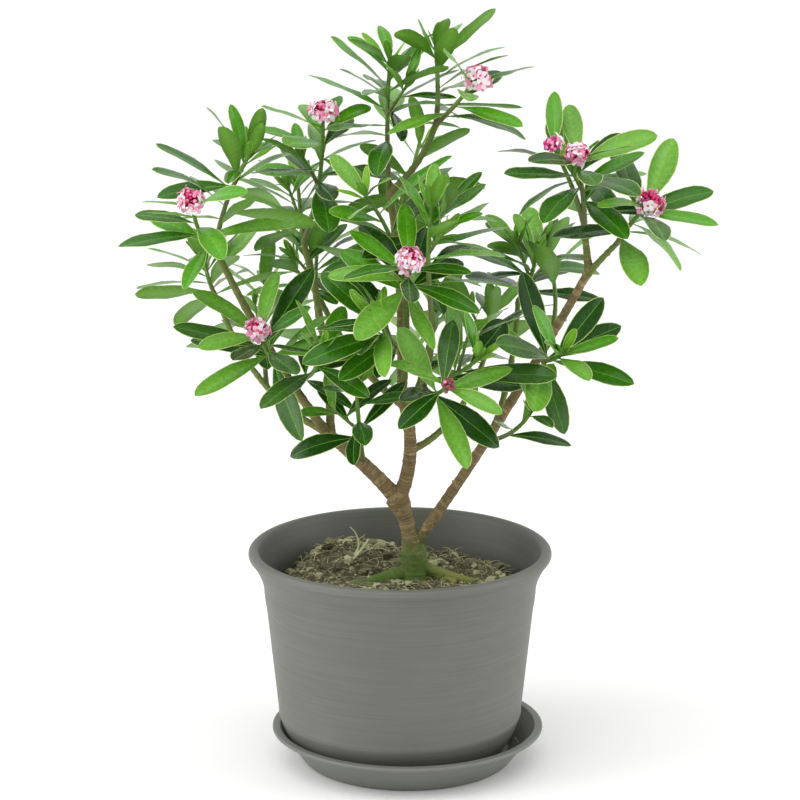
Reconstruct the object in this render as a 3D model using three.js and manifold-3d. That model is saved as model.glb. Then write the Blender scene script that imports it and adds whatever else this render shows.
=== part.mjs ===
// A winter daphne in a pot: a small evergreen shrub with a knotty trunk, three boughs, shoots of narrow
// leaves and round heads of pink blossom. It grows in a round plastic pot that stands on a saucer.
// Millimetres, +Z up. The origin is on the flat underside of the saucer, below the middle of the pot.
import * as THREE from 'three';
import { mergeVertices } from 'three/addons/utils/BufferGeometryUtils.js';
import Module from 'manifold-3d';

const wasm = await Module();
wasm.setup();

const { clamp, degToRad, lerp, smoothstep } = THREE.MathUtils;
const upwards = new THREE.Vector3(0, 0, 1);
const sideways = new THREE.Vector3(1, 0, 0);

// Driving dimensions
const gap = 0.3; // clearance between pieces that meet
const roundFacets = 32;
const growthSteps = { trunk: 8, root: 4, limb: 5, shoot: 4 };

const saucer = {
  centreX: 7, // the pot stands a little off the middle of it
  baseRadius: 96.5,
  waist: { radius: 112.5, height: 21 },
  flange: { inner: 119, outer: 126.5, depth: 3.5 },
  height: 32.5,
  wall: 2.6,
  floor: 3.5,
  lip: 1.5,
};

const pot = {
  foot: saucer.floor + gap,
  baseRadius: 80,
  corner: { radius: 113.5, height: 46, round: 10, belly: 5, bellyHeight: 26 },
  neck: { radius: 126, height: 163 },
  rimRadius: 140.5,
  rimHeight: 204,
  lip: 5,
  wall: 3,
};

const soil = {
  level: 170.7,
  radius: 122.4,
  rings: [104, 86, 68, 50, 30],
  mound: { x: -54, y: 68, height: 15, spread: 42 },
  edge: { from: 94, to: 118, depth: 16 }, // it has sunk towards the wall of the pot
  lump: { height: 2.6, across: [0.13, 0.21], along: [-0.09, 0.17] }, // radians a millimetre in x and y
  clearOfRoots: 9,
};

// The trunk swells at the ground into a root flare, has a waist, and swells at its fork into a knot.
const trunk = {
  foot: new THREE.Vector3(14, 12, soil.level + gap),
  heading: [-165, -165],
  rise: [90, 65],
  length: 80,
  radius: [12.4, 7.4],
  waist: { from: 0.2, to: 0.62 },
  flare: 2.6,
  flareLength: 9,
  knot: { swell: 3.6, from: 0.72 },
  sides: 10,
};

// Roots that come down from the trunk and lie on the soil, cut flat where they meet it. Each starts in the
// middle of the trunk, some way above the soil.
const surfaceRoots = [
  { above: 6, heading: [-162, -150], rise: [-4, -8], length: 50, radius: [7.5, 4.5] },
  { above: 15, heading: [-26, -4], rise: [-18, -10], length: 58, radius: [5, 3.4] },
  { above: 9, heading: [-14, -40], rise: [-12, -8], length: 44, radius: [4, 2.2] },
];

// A limb leaves its parent at a share of the parent's length. Heading is the compass angle from +X and rise
// the angle above level, both in degrees at the limb's foot and its tip, and the limb turns evenly between
// them. Its length and its radius at the foot and the tip follow.
function limb(name, from, at, heading, rise, length, radius) {
  return { name, from, at, heading, rise, length, radius };
}

const limbs = [
  limb('bough_right', 'trunk', 0.36, [-10, -15], [56, 62], 315, [5.2, 3.7]),
  limb('bough_left', 'trunk', 1, [-165, -165], [50, 40], 95, [7.4, 5.6]),
  limb('bough_middle', 'trunk', 0.97, [-25, 0], [65, 110], 100, [7, 5]),
  limb('limb_left_low', 'bough_left', 0.98, [155, 130], [20, 60], 170, [3.2, 2.4]),
  limb('limb_left_long', 'bough_left', 1, [-165, -160], [55, 65], 205, [4.4, 3]),
  limb('limb_left_high', 'bough_left', 0.94, [95, 140], [75, 70], 180, [4, 2.8]),
  limb('limb_leader', 'bough_middle', 1, [90, 160], [90, 80], 195, [4.6, 3.4]),
  limb('limb_front', 'bough_middle', 0.98, [-85, -90], [55, 55], 140, [3.4, 2.6]),
  limb('limb_inner_left', 'bough_middle', 0.93, [135, 125], [20, 45], 140, [3.6, 2.6]),
  limb('limb_inner_right', 'bough_middle', 0.5, [50, 65], [5, 40], 135, [3.4, 2.4]),
  limb('limb_centre', 'bough_middle', 0.75, [-65, -90], [50, 50], 150, [3.8, 2.6]),
  limb('limb_right_high', 'bough_right', 1, [-150, -150], [80, 85], 40, [3.4, 2.8]),
  limb('limb_right_out', 'bough_right', 0.98, [-30, -30], [50, 45], 45, [3, 2.5]),
  limb('limb_right_inner', 'bough_right', 0.45, [65, 85], [45, 50], 135, [3, 2.4]),
  limb('limb_top_right', 'limb_leader', 0.98, [-20, -40], [40, 70], 85, [3.2, 2.6]),
];

// Each shoot is one mass of foliage. Its stem grows as a limb does, bears side twigs and a spiral of leaves,
// and may end in a head of blossom. Its leaves may lean out by some degrees more than usual, or less.
function shoot(name, from, at, heading, rise, length, bears) {
  const usual = { leaves: 14, twigs: 0, blossom: false, headRadius: 15, leafSize: 1, lean: 0 };
  return { name, from, at, heading, rise, length, radius: [2.4, 1.6], ...usual, ...bears };
}

const shoots = [
  shoot('top', 'limb_leader', 1, [130, 40], [85, 85], 115, { leaves: 18, twigs: 1 }),
  shoot('top_inner', 'limb_top_right', 1, [80, 105], [60, 70], 70, {}),
  shoot('top_bloom', 'limb_top_right', 0.95, [-38, -38], [40, 50], 60,
    { leaves: 12, blossom: true, lean: -10 }),
  shoot('high_left_bloom', 'limb_left_high', 1, [-40, -90], [65, 75], 130, { twigs: 1, blossom: true }),
  shoot('high_left', 'limb_left_high', 0.94, [100, 100], [35, 60], 75, { leaves: 11, twigs: 1 }),
  shoot('left_upper', 'limb_left_long', 1, [75, 40], [60, 50], 95, { twigs: 1 }),
  shoot('left_bloom', 'limb_left_long', 0.95, [-140, -100], [40, 65], 70, { blossom: true }),
  shoot('left_back', 'limb_left_low', 1, [130, 110], [40, 60], 45, {}),
  shoot('left_low_bloom', 'limb_left_long', 0.4, [-105, -105], [20, 50], 70, { blossom: true }),
  shoot('low_left', 'bough_left', 0.5, [-95, -95], [45, 65], 115, { leaves: 8, twigs: 1, leafSize: 0.8 }),
  shoot('front_bloom', 'limb_front', 1, [-90, -85], [28, 55], 60, { blossom: true }),
  shoot('front_face', 'limb_centre', 1, [-160, -40], [85, 80], 110, { leaves: 12, twigs: 1 }),
  shoot('front_buds', 'limb_centre', 0.4, [-80, -74], [-4, 30], 95,
    { leaves: 10, blossom: true, headRadius: 9 }),
  shoot('front_left', 'limb_front', 0.5, [-105, -110], [15, 45], 100, { twigs: 1 }),
  shoot('right_inner', 'limb_right_inner', 1, [-10, -30], [55, 85], 50, { twigs: 1 }),
  shoot('right_high_bloom', 'limb_right_high', 1, [-120, -95], [88, 40], 80,
    { leaves: 17, twigs: 1, blossom: true, headRadius: 12 }),
  shoot('right_bloom', 'limb_right_out', 1, [-40, -55], [55, 40], 54, { blossom: true, leafSize: 1.1 }),
  shoot('right_node', 'bough_right', 0.7, [-80, -60], [0, 30], 60, { leaves: 12 }),
  shoot('right_low', 'bough_right', 0.4, [-50, -60], [15, 50], 85, { leaves: 6, leafSize: 0.8 }),
  shoot('back_right_inner', 'limb_inner_right', 1, [60, 80], [45, 60], 60, { leaves: 8, twigs: 1 }),
  shoot('back_left_inner', 'limb_inner_left', 1, [150, 100], [60, 75], 55, { leaves: 9, twigs: 1 }),
  shoot('centre_left', 'limb_leader', 0.6, [-95, -130], [50, 45], 115, { leaves: 8 }),
  shoot('centre_right', 'limb_leader', 0.5, [-65, -40], [55, 50], 115, { leaves: 9 }),
  shoot('centre_back', 'limb_leader', 0.4, [85, 100], [10, 50], 145, { leaves: 9, twigs: 1 }),
  shoot('back_low', 'bough_middle', 0.88, [80, 80], [0, 40], 175, { leaves: 10, twigs: 1 }),
  shoot('back_left', 'limb_left_high', 0.5, [100, 85], [10, 45], 160, { leaves: 9, twigs: 1 }),
  shoot('back_far_left', 'limb_left_low', 0.45, [95, 90], [10, 45], 150, { leaves: 9, twigs: 1 }),
  shoot('back_right', 'bough_right', 0.72, [65, 110], [20, 50], 140, { leaves: 8 }),
  shoot('back_high', 'limb_leader', 0.75, [85, 70], [20, 50], 130, { leaves: 9 }),
  shoot('centre_low_right', 'limb_centre', 0.45, [-50, -50], [10, 40], 85, { leaves: 11, twigs: 1 }),
  shoot('left_inner', 'limb_left_long', 0.3, [-60, -85], [10, 45], 110, { leaves: 9 }),
  shoot('right_high_buds', 'limb_right_high', 0.95, [-165, -125], [78, 50], 88,
    { leaves: 4, blossom: true, headRadius: 11 }),
];

// Leaves sit on the upper part of a stem or twig, at most span long, closest together at the tip.
const stemLeaves = { span: 70, share: 0.82, tipBare: 2, crowding: 1.15, upright: 0.42 };
const twig = {
  radius: [1.6, 1.2],
  length: [26, 40],
  at: [0.4, 0.62],
  lean: 0.58,
  lift: 0.3,
  leaves: 5,
  leafSize: 0.86,
};
const leaf = {
  length: 78,
  slender: 0.285,
  thickness: 1,
  young: 0.62, // size of the leaves at a growing tip, and just under blossom
  youngUnderBlossom: 0.8,
  grownUp: 2.2, // how fast leaves reach their full size down the stem
  lean: { atTip: 32, underBlossom: 50, atFoot: 82, spread: 0.8 }, // degrees from the stem
  droop: [2, 42],
  vary: { turn: 12, lean: 10, length: 0.12, width: 0.13, roll: 16 },
  stations: [0.4, 0.76],
};
const goldenAngle = 137.5;

// How far a leaf keeps from the leaves of other shoots and of its own, and from the skin of a limb
const room = { otherShoot: 6.5, sameShoot: 4, limb: 4, lowest: 226, freeFoot: 0.4 };

const finish = {
  plastic: { color: 0x73746d, roughness: 0.62, metalness: 0 },
  earth: { color: 0x50503c, roughness: 1, metalness: 0 },
  bark: { color: 0x5d5540, roughness: 0.9, metalness: 0 },
  youngBark: { color: 0x716846, roughness: 0.85, metalness: 0 },
  foliage: { color: 0x4f7d2c, roughness: 0.45, metalness: 0 },
};

// Solids
function toSolid(geometry) {
  const bare = geometry.index ? geometry.toNonIndexed() : geometry.clone();
  bare.deleteAttribute('normal');
  bare.deleteAttribute('uv');
  const merged = mergeVertices(bare, 1e-4);
  const mesh = new wasm.Mesh({
    numProp: 3,
    vertProperties: new Float32Array(merged.attributes.position.array),
    triVerts: new Uint32Array(merged.index.array),
  });
  return new wasm.Manifold(mesh);
}

function toGeometry(solid) {
  const mesh = solid.getMesh();
  const geometry = new THREE.BufferGeometry();
  geometry.setAttribute('position', new THREE.BufferAttribute(new Float32Array(mesh.vertProperties), 3));
  geometry.setIndex([...mesh.triVerts]);
  geometry.computeVertexNormals();
  return geometry;
}

// The largest body of a solid, with slivers closed, loose scraps dropped and sealed hollows filled
function wholeBody(solid) {
  const sliver = 0.1;
  const bodies = solid.asOriginal().simplify(sliver).decompose();
  return bodies.reduce((largest, body) => (body.volume() > largest.volume() ? body : largest));
}

// A closed skin over rings of points that all run the same way, with flat ends or a point beyond each end
function loft(rings, points) {
  const sides = rings[0].length;
  const places = rings.flat();
  const last = places.length - sides;
  const [foot, tip] = [places.length, places.length + 1];
  const triangles = [];
  for (let side = 0; side < sides; side++) {
    const next = (side + 1) % sides;
    for (let ring = 0; ring < last; ring += sides) {
      const [a, b] = [ring + side, ring + next];
      triangles.push(a, b, b + sides, a, b + sides, a + sides);
    }
    if (points) {
      triangles.push(next, side, foot, last + side, last + next, tip);
    } else if (side > 0 && next > 0) {
      triangles.push(0, next, side, last, last + side, last + next);
    }
  }
  const geometry = new THREE.BufferGeometry().setFromPoints(points ? [...places, ...points] : places);
  return geometry.setIndex(triangles);
}

function lathe(outline, curveSteps) {
  return new THREE.LatheGeometry(outline.getPoints(curveSteps), roundFacets).rotateX(Math.PI / 2);
}

// Lines that grow
function seeded(seed) {
  const modulus = 2147483647;
  let state = 1000003 * seed;
  return (low, high) => {
    state = (state * 16807) % modulus;
    return lerp(low, high, state / modulus);
  };
}

function direction(heading, rise) {
  const level = Math.cos(degToRad(rise));
  const compass = degToRad(heading);
  return new THREE.Vector3(level * Math.cos(compass), level * Math.sin(compass), Math.sin(degToRad(rise)));
}

function grow(foot, { heading, rise, length }, steps) {
  const line = [foot.clone()];
  for (let i = 0; i < steps; i++) {
    const share = (i + 0.5) / steps;
    const step = direction(lerp(...heading, share), lerp(...rise, share));
    line.push(line[i].clone().addScaledVector(step, length / steps));
  }
  return line;
}

function pointAt(line, share) {
  const place = clamp(share, 0, 1) * (line.length - 1);
  const before = Math.min(Math.floor(place), line.length - 2);
  return line[before].clone().lerp(line[before + 1], place - before);
}

function headingAt(line, share) {
  const before = Math.min(Math.floor(clamp(share, 0, 1) * (line.length - 1)), line.length - 2);
  return line[before + 1].clone().sub(line[before]).normalize();
}

// A tapering tube, grown all round and at both ends by a margin
function tube(line, radius, sides, margin = 0) {
  const radiusAt = typeof radius === 'function' ? radius : (share) => lerp(...radius, share);
  const path = line.map((point) => point.clone());
  path[0].addScaledVector(headingAt(line, 0), -margin);
  path[path.length - 1].addScaledVector(headingAt(line, 1), margin);
  const steps = path.length - 1;
  const { normals, binormals } = new THREE.CatmullRomCurve3(path).computeFrenetFrames(steps, false);
  const rings = path.map((point, i) => {
    const reach = radiusAt(i / steps) + margin;
    return Array.from({ length: sides }, (_, side) => {
      const angle = (2 * Math.PI * side) / sides;
      const along = normals[i].clone().multiplyScalar(reach * Math.cos(angle));
      return along.addScaledVector(binormals[i], reach * Math.sin(angle)).add(point);
    });
  });
  return toSolid(loft(rings));
}

// Limbs that stand already, with the room that each takes up
const standing = [];

// Stands a limb on its parent, cut clear of every limb that stood before it
function stand(name, line, radius, sides) {
  const solid = tube(line, radius, sides);
  const hull = solid.boundingBox();
  const meets = ({ box }) => [0, 1, 2].every((i) => hull.min[i] < box.max[i] && hull.max[i] > box.min[i]);
  const cut = standing.filter(meets).reduce((rest, { taken }) => rest.subtract(taken), solid);
  const taken = tube(line, radius, sides, gap);
  standing.push({ name, line, taken, box: taken.boundingBox() });
  return wholeBody(cut);
}

function lineFrom({ from, at, ...growth }, steps) {
  const parent = standing.find(({ name }) => name === from);
  return grow(pointAt(parent.line, at), growth, steps);
}

// The pot, its saucer and the soil
function saucerGeometry() {
  const { baseRadius, waist, flange, height, wall, floor, lip } = saucer;
  const heel = { back: 3, out: 2, up: 2.5 };
  const flare = { out: 3, up: 4.5 };
  const under = height - flange.depth;
  const outline = new THREE.Path();
  outline.moveTo(0, 0);
  outline.lineTo(baseRadius - heel.back, 0);
  outline.quadraticCurveTo(baseRadius, 0, baseRadius + heel.out, heel.up);
  outline.lineTo(waist.radius, waist.height);
  outline.quadraticCurveTo(waist.radius + flare.out, waist.height + flare.up, flange.inner + lip, under);
  outline.lineTo(flange.outer - lip, under);
  outline.quadraticCurveTo(flange.outer, under, flange.outer, under + lip);
  outline.lineTo(flange.outer, height - lip);
  outline.quadraticCurveTo(flange.outer, height, flange.outer - lip, height);
  outline.lineTo(flange.inner, height);
  outline.lineTo(waist.radius - wall, waist.height);
  outline.lineTo(baseRadius + heel.back - wall, floor);
  outline.lineTo(0, floor);
  return lathe(outline, 2).translate(saucer.centreX, 0, 0);
}

// The pot's wall from its floor up to its neck: a round corner and a straight taper
function wallUp(outline, inset, floor) {
  const { baseRadius, corner, neck } = pot;
  outline.lineTo(baseRadius - inset, floor);
  outline.bezierCurveTo(
    baseRadius + corner.round - inset, floor,
    corner.radius - corner.belly - inset, corner.bellyHeight,
    corner.radius - inset, corner.height,
  );
  outline.lineTo(neck.radius - inset, neck.height);
}

function wallDown(outline, inset, floor) {
  const { baseRadius, corner } = pot;
  outline.lineTo(corner.radius - inset, corner.height);
  outline.bezierCurveTo(
    corner.radius - corner.belly - inset, corner.bellyHeight,
    baseRadius + corner.round - inset, floor,
    baseRadius - inset, floor,
  );
  outline.lineTo(0, floor);
}

function potGeometry() {
  const { neck, lip, wall } = pot;
  const bead = { radius: pot.rimRadius - lip, height: pot.rimHeight - lip };
  const [under, over] = [degToRad(-60), degToRad(150)];
  const flare = { outside: 14, inside: 17 };
  const outline = new THREE.Path();
  outline.moveTo(0, pot.foot);
  wallUp(outline, 0, pot.foot);
  const underLip = [bead.radius + lip * Math.cos(under), bead.height + lip * Math.sin(under)];
  outline.quadraticCurveTo(neck.radius, neck.height + flare.outside, ...underLip);
  outline.absarc(bead.radius, bead.height, lip, under, over, false);
  const inside = neck.radius - wall;
  outline.quadraticCurveTo(inside + 1, neck.height + flare.inside, inside, neck.height);
  wallDown(outline, wall, pot.foot + wall);
  return lathe(outline, 3);
}

// Lumps and a mound on the soil, which lies level round the roots and sinks towards the wall of the pot
function soilHeight(x, y, rootPoints) {
  const { mound, edge, lump, clearOfRoots } = soil;
  const here = new THREE.Vector3(x, y, trunk.foot.z);
  const toRoot = Math.min(...rootPoints.map((point) => point.distanceTo(here)));
  const away = Math.hypot(x - mound.x, y - mound.y) / mound.spread;
  const [wave, cross] = [lump.across, lump.along].map(([byX, byY]) => byX * x + byY * y);
  const lumps = lump.height * (1 + Math.sin(wave) * Math.cos(cross));
  const sunk = edge.depth * smoothstep(Math.hypot(x, y), edge.from, edge.to);
  const clear = smoothstep(toRoot, clearOfRoots, 4 * clearOfRoots);
  return clear * (mound.height * Math.exp(-(away ** 2)) + lumps) - sunk;
}

function soilSolid(rootPoints) {
  const floor = pot.foot + pot.wall + gap;
  const outline = new THREE.Path();
  outline.moveTo(0, floor);
  wallUp(outline, pot.wall + gap, floor);
  for (const ring of [soil.radius, ...soil.rings, 0]) {
    outline.lineTo(ring, soil.level);
  }
  const geometry = lathe(outline, 3);
  const places = geometry.attributes.position;
  const top = soil.level - gap;
  const neck = pot.neck.height - gap;
  const taper = (pot.neck.radius - pot.corner.radius) / (pot.neck.height - pot.corner.height);
  for (let i = 0; i < places.count; i++) {
    const [x, y, z] = [places.getX(i), places.getY(i), places.getZ(i)];
    if (z > neck) {
      const height = soilHeight(x, y, rootPoints);
      const sunk = Math.min(0, height);
      const narrowed = 1 + (sunk * taper) / soil.radius; // the wall leans in further down
      places.setXYZ(i, x * narrowed, y * narrowed, z > top ? soil.level + height : z + sunk);
    }
  }
  return toSolid(geometry);
}

function trunkRadius(share) {
  const { radius, waist, flare, flareLength, length, knot } = trunk;
  const body = lerp(...radius, smoothstep(share, waist.from, waist.to));
  const foot = flare * Math.exp((-share * length) / flareLength);
  return body + foot + knot.swell * smoothstep(share, knot.from, 1);
}

// The trunk with its surface roots, cut flat at the level of the soil, and grown all round by a margin
function trunkSolid(line, rootLines, margin = 0) {
  const rootSides = 6;
  const roots = rootLines.map((root, i) => tube(root, surfaceRoots[i].radius, rootSides, margin));
  const upright = tube(line, trunkRadius, trunk.sides, margin);
  const ground = { width: 200, depth: 40 };
  const below = new THREE.BoxGeometry(ground.width, ground.width, ground.depth);
  below.translate(trunk.foot.x, trunk.foot.y, trunk.foot.z - margin - ground.depth / 2);
  return wholeBody(wasm.Manifold.union([upright, ...roots]).subtract(toSolid(below)));
}

// Leaves
function leafHalfWidth(share) {
  const lateWidest = 1.357; // the widest place is at three fifths of the length
  const fullness = 0.85;
  return Math.sin(Math.PI * share ** lateWidest) ** fullness;
}

// A point on the middle line of a leaf, which leaves its foot along out and bends away from its upper face
function leafPoint(plan, share) {
  const steps = 8;
  const step = (plan.length * share) / steps;
  const point = plan.foot.clone();
  for (let i = 0; i < steps; i++) {
    const bend = (degToRad(plan.droop) * share * (i + 0.5)) / steps;
    point.addScaledVector(plan.out, step * Math.cos(bend)).addScaledVector(plan.face, -step * Math.sin(bend));
  }
  return point;
}

function leafSolid(plan) {
  const rings = leaf.stations.map((share) => {
    const middle = leafPoint(plan, share);
    const reach = 0.5 * plan.width * leafHalfWidth(share);
    const right = middle.clone().addScaledVector(plan.side, reach);
    const keel = middle.clone().addScaledVector(plan.face, -leaf.thickness);
    const left = middle.clone().addScaledVector(plan.side, -reach);
    return [right, keel, left];
  });
  return toSolid(loft(rings, [plan.foot, leafPoint(plan, 1)]));
}

// Places all over a leaf, by which it is kept clear of what grows round it
function leafSamples(plan) {
  const along = 16;
  const samples = [];
  for (let i = 1; i <= along; i++) {
    const share = i / along;
    const middle = leafPoint(plan, share);
    const reach = 0.5 * plan.width * leafHalfWidth(share);
    for (const across of [-1, -0.67, -0.33, 0, 0.33, 0.67, 1]) {
      samples.push({ share, point: middle.clone().addScaledVector(plan.side, across * reach) });
    }
  }
  return samples;
}

// The samples of every leaf that has grown, kept in a grid of cells
const grownLeaves = new Map();

function cellOf(point) {
  return point.toArray().map((value) => Math.floor(value / room.otherShoot));
}

function occupy(samples, owner) {
  for (const sample of samples) {
    const key = cellOf(sample.point).join();
    grownLeaves.set(key, [...(grownLeaves.get(key) ?? []), { ...sample, owner }]);
  }
}

function neighbours(point) {
  const [x, y, z] = cellOf(point);
  const steps = [-1, 0, 1];
  const keys = steps.flatMap((i) => steps.flatMap((j) => steps.map((k) => `${x + i},${y + j},${z + k}`)));
  return keys.flatMap((key) => grownLeaves.get(key) ?? []);
}

function meetsLeaf({ share, point }, owner) {
  return neighbours(point).some((other) => {
    const same = other.owner === owner;
    const joined = same && Math.min(share, other.share) < room.freeFoot;
    return !joined && point.distanceTo(other.point) < (same ? room.sameShoot : room.otherShoot);
  });
}

// What leaves keep clear of: points along a limb or in a head of blossom, with its reach and its shoot
const obstacles = [];

function addObstacle(line, radius, owner) {
  const spacing = 4;
  const count = Math.ceil(line[0].distanceTo(line[line.length - 1]) / spacing) + 1;
  const points = Array.from({ length: count + 1 }, (_, i) => pointAt(line, i / count));
  const reach = radius + room.limb;
  obstacles.push({ points, reach, owner, box: new THREE.Box3().setFromPoints(points).expandByScalar(reach) });
}

function meetsLimb({ share, point }, owner) {
  return obstacles.some((limb) => {
    const joined = limb.owner === owner && share < room.freeFoot;
    const near = !joined && limb.box.containsPoint(point);
    return near && limb.points.some((place) => place.distanceTo(point) < limb.reach);
  });
}

// The leaf of one number, counted down from the tip of its stem or twig
function leafPlan(axis, index, spin, draw) {
  const { vary, lean } = leaf;
  const share = index / (axis.leaves - 1);
  const span = Math.min(stemLeaves.span, stemLeaves.share * axis.length);
  const place = 1 - (stemLeaves.tipBare + span * share ** stemLeaves.crowding) / axis.length;
  const upright = headingAt(axis.line, place).lerp(upwards, stemLeaves.upright).normalize();
  const turn = degToRad(spin + index * goldenAngle + draw(-vary.turn, vary.turn));
  const leanAtTip = axis.blossom ? lean.underBlossom : lean.atTip;
  const usualLean = lerp(leanAtTip, lean.atFoot, share ** lean.spread);
  const leaning = degToRad(usualLean + axis.lean + draw(-vary.lean, vary.lean));
  const outwards = sideways.clone().cross(upright).normalize().applyAxisAngle(upright, turn);
  const out = outwards.multiplyScalar(Math.sin(leaning)).addScaledVector(upright, Math.cos(leaning));
  const youngest = axis.blossom ? leaf.youngUnderBlossom : leaf.young;
  const young = lerp(youngest, 1, Math.min(1, leaf.grownUp * share));
  const length = leaf.length * axis.leafSize * young * draw(1 - vary.length, 1 + vary.length);
  const roll = degToRad(draw(-vary.roll, vary.roll));
  const face = upright.addScaledVector(out, -upright.dot(out)).normalize().applyAxisAngle(out, roll);
  const width = length * leaf.slender * draw(1 - vary.width, 1 + vary.width);
  const side = out.clone().cross(face);
  return { foot: pointAt(axis.line, place), out, face, side, length, width, droop: draw(...leaf.droop) };
}

// A leaf that has no room is tried again turned, raised or lowered and shortened, and is then left out.
const leafTries = [
  { turn: 0, lift: 0, size: 1 },
  { turn: 24, lift: 0, size: 1 },
  { turn: -24, lift: 0, size: 1 },
  { turn: 0, lift: 18, size: 0.92 },
  { turn: 40, lift: 10, size: 0.86 },
  { turn: -40, lift: 10, size: 0.86 },
  { turn: 0, lift: -16, size: 0.8 },
  { turn: 66, lift: 0, size: 0.8 },
  { turn: -66, lift: 0, size: 0.8 },
  { turn: 20, lift: 34, size: 0.72 },
  { turn: -20, lift: -28, size: 0.72 },
];

function withRoom(plan, owner) {
  for (const { turn, lift, size } of leafTries) {
    const turned = ['out', 'face', 'side'].map((name) => {
      const lifted = plan[name].clone().applyAxisAngle(plan.side, degToRad(lift));
      return [name, lifted.applyAxisAngle(upwards, degToRad(turn))];
    });
    const [length, width] = [plan.length * size, plan.width * size];
    const trial = { ...plan, ...Object.fromEntries(turned), length, width };
    const samples = leafSamples(trial);
    const blocked = (sample) =>
      sample.point.z < room.lowest || meetsLimb(sample, owner) || meetsLeaf(sample, owner);
    if (!samples.some(blocked)) {
      occupy(samples, owner);
      return trial;
    }
  }
  return null;
}

// Blossom: a round head whose florets stand out at the twelve corners of an icosahedron. Its middle is past
// the tip of its stem by a share of its radius.
const headPastTip = 0.3;
const headInView = 1.2; // how far in front of a head leaves keep away, in radii of the head

function headSolid(centre, radius) {
  const between = 0.8;
  const corners = new THREE.IcosahedronGeometry(1, 0).attributes.position;
  const head = new THREE.IcosahedronGeometry(1, 1);
  const places = head.attributes.position;
  const out = new THREE.Vector3();
  const corner = new THREE.Vector3();
  for (let i = 0; i < places.count; i++) {
    out.fromBufferAttribute(places, i);
    let nearest = 0;
    for (let j = 0; j < corners.count; j++) {
      nearest = Math.max(nearest, corner.fromBufferAttribute(corners, j).dot(out));
    }
    out.multiplyScalar(nearest > 0.999 ? radius : between * radius).add(centre);
    places.setXYZ(i, out.x, out.y, out.z);
  }
  return toSolid(head);
}

// A side twig rises from its stem by a seeded rule.
function twigLine(stemLine, draw) {
  const at = draw(...twig.at);
  const along = headingAt(stemLine, at);
  const across = sideways.clone().cross(along).normalize().applyAxisAngle(along, degToRad(draw(0, 360)));
  const out = along.lerp(across, twig.lean).lerp(upwards, twig.lift).normalize();
  const foot = pointAt(stemLine, at);
  return [foot, foot.clone().addScaledVector(out, draw(...twig.length))];
}

const model = new THREE.Group();

function place(name, geometry, look) {
  const mesh = new THREE.Mesh(geometry, new THREE.MeshStandardMaterial(look));
  mesh.name = name;
  model.add(mesh);
}

place('saucer', saucerGeometry(), finish.plastic);
place('pot', potGeometry(), finish.plastic);

const trunkLine = grow(trunk.foot, trunk, growthSteps.trunk);
const rootLines = surfaceRoots.map(({ above, ...growth }) =>
  grow(trunk.foot.clone().addScaledVector(upwards, above), growth, growthSteps.root));
stand('trunk', trunkLine, trunkRadius, trunk.sides);
addObstacle(trunkLine, trunk.radius[0]);
const bed = soilSolid(rootLines.flat()).subtract(trunkSolid(trunkLine, rootLines, gap));
place('soil', toGeometry(wholeBody(bed)), finish.earth);
place('trunk', toGeometry(trunkSolid(trunkLine, rootLines)), finish.bark);

for (const { name, radius, ...growth } of limbs) {
  const thick = radius[0] > 5;
  const line = lineFrom(growth, growthSteps.limb);
  place(name, toGeometry(stand(name, line, radius, thick ? 8 : 6)), thick ? finish.bark : finish.youngBark);
  addObstacle(line, radius[0]);
}

// All stems, side twigs and blossom stand before the first leaf, so that every leaf keeps clear of them.
const masses = shoots.map(({ name, radius, length, leaves, leafSize, ...rest }, owner) => {
  const draw = seeded(owner + 1);
  const line = lineFrom({ length, ...rest }, growthSteps.shoot);
  const solids = [stand(name, line, radius, 3)];
  addObstacle(line, radius[0], owner);
  const axes = [{ line, length, leaves, leafSize, lean: rest.lean, blossom: rest.blossom }];
  for (let i = 0; i < rest.twigs; i++) {
    const side = twigLine(line, draw);
    solids.push(tube(side, twig.radius, 3));
    addObstacle(side, twig.radius[0], owner);
    const reach = side[0].distanceTo(side[1]);
    const bears = { leaves: twig.leaves, leafSize: twig.leafSize * leafSize, lean: 0 };
    axes.push({ line: side, length: reach, ...bears });
  }
  if (rest.blossom) {
    const aim = headingAt(line, 1);
    const centre = pointAt(line, 1).addScaledVector(aim, headPastTip * rest.headRadius);
    solids.push(headSolid(centre, rest.headRadius));
    const inFront = centre.clone().addScaledVector(aim, headInView * rest.headRadius);
    addObstacle([centre, inFront], rest.headRadius, owner);
  }
  return { name, owner, draw, solids, axes };
});

for (const { name, owner, draw, solids, axes } of masses) {
  for (const axis of axes) {
    const spin = draw(0, 360);
    for (let index = 0; index < axis.leaves; index++) {
      const fitted = withRoom(leafPlan(axis, index, spin, draw), owner);
      if (fitted) {
        solids.push(leafSolid(fitted));
      }
    }
  }
  place(`foliage_${name}`, toGeometry(wholeBody(wasm.Manifold.union(solids))), finish.foliage);
}

export default model;
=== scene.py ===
import math

import bpy
import numpy as np
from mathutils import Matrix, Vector, noise


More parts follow.
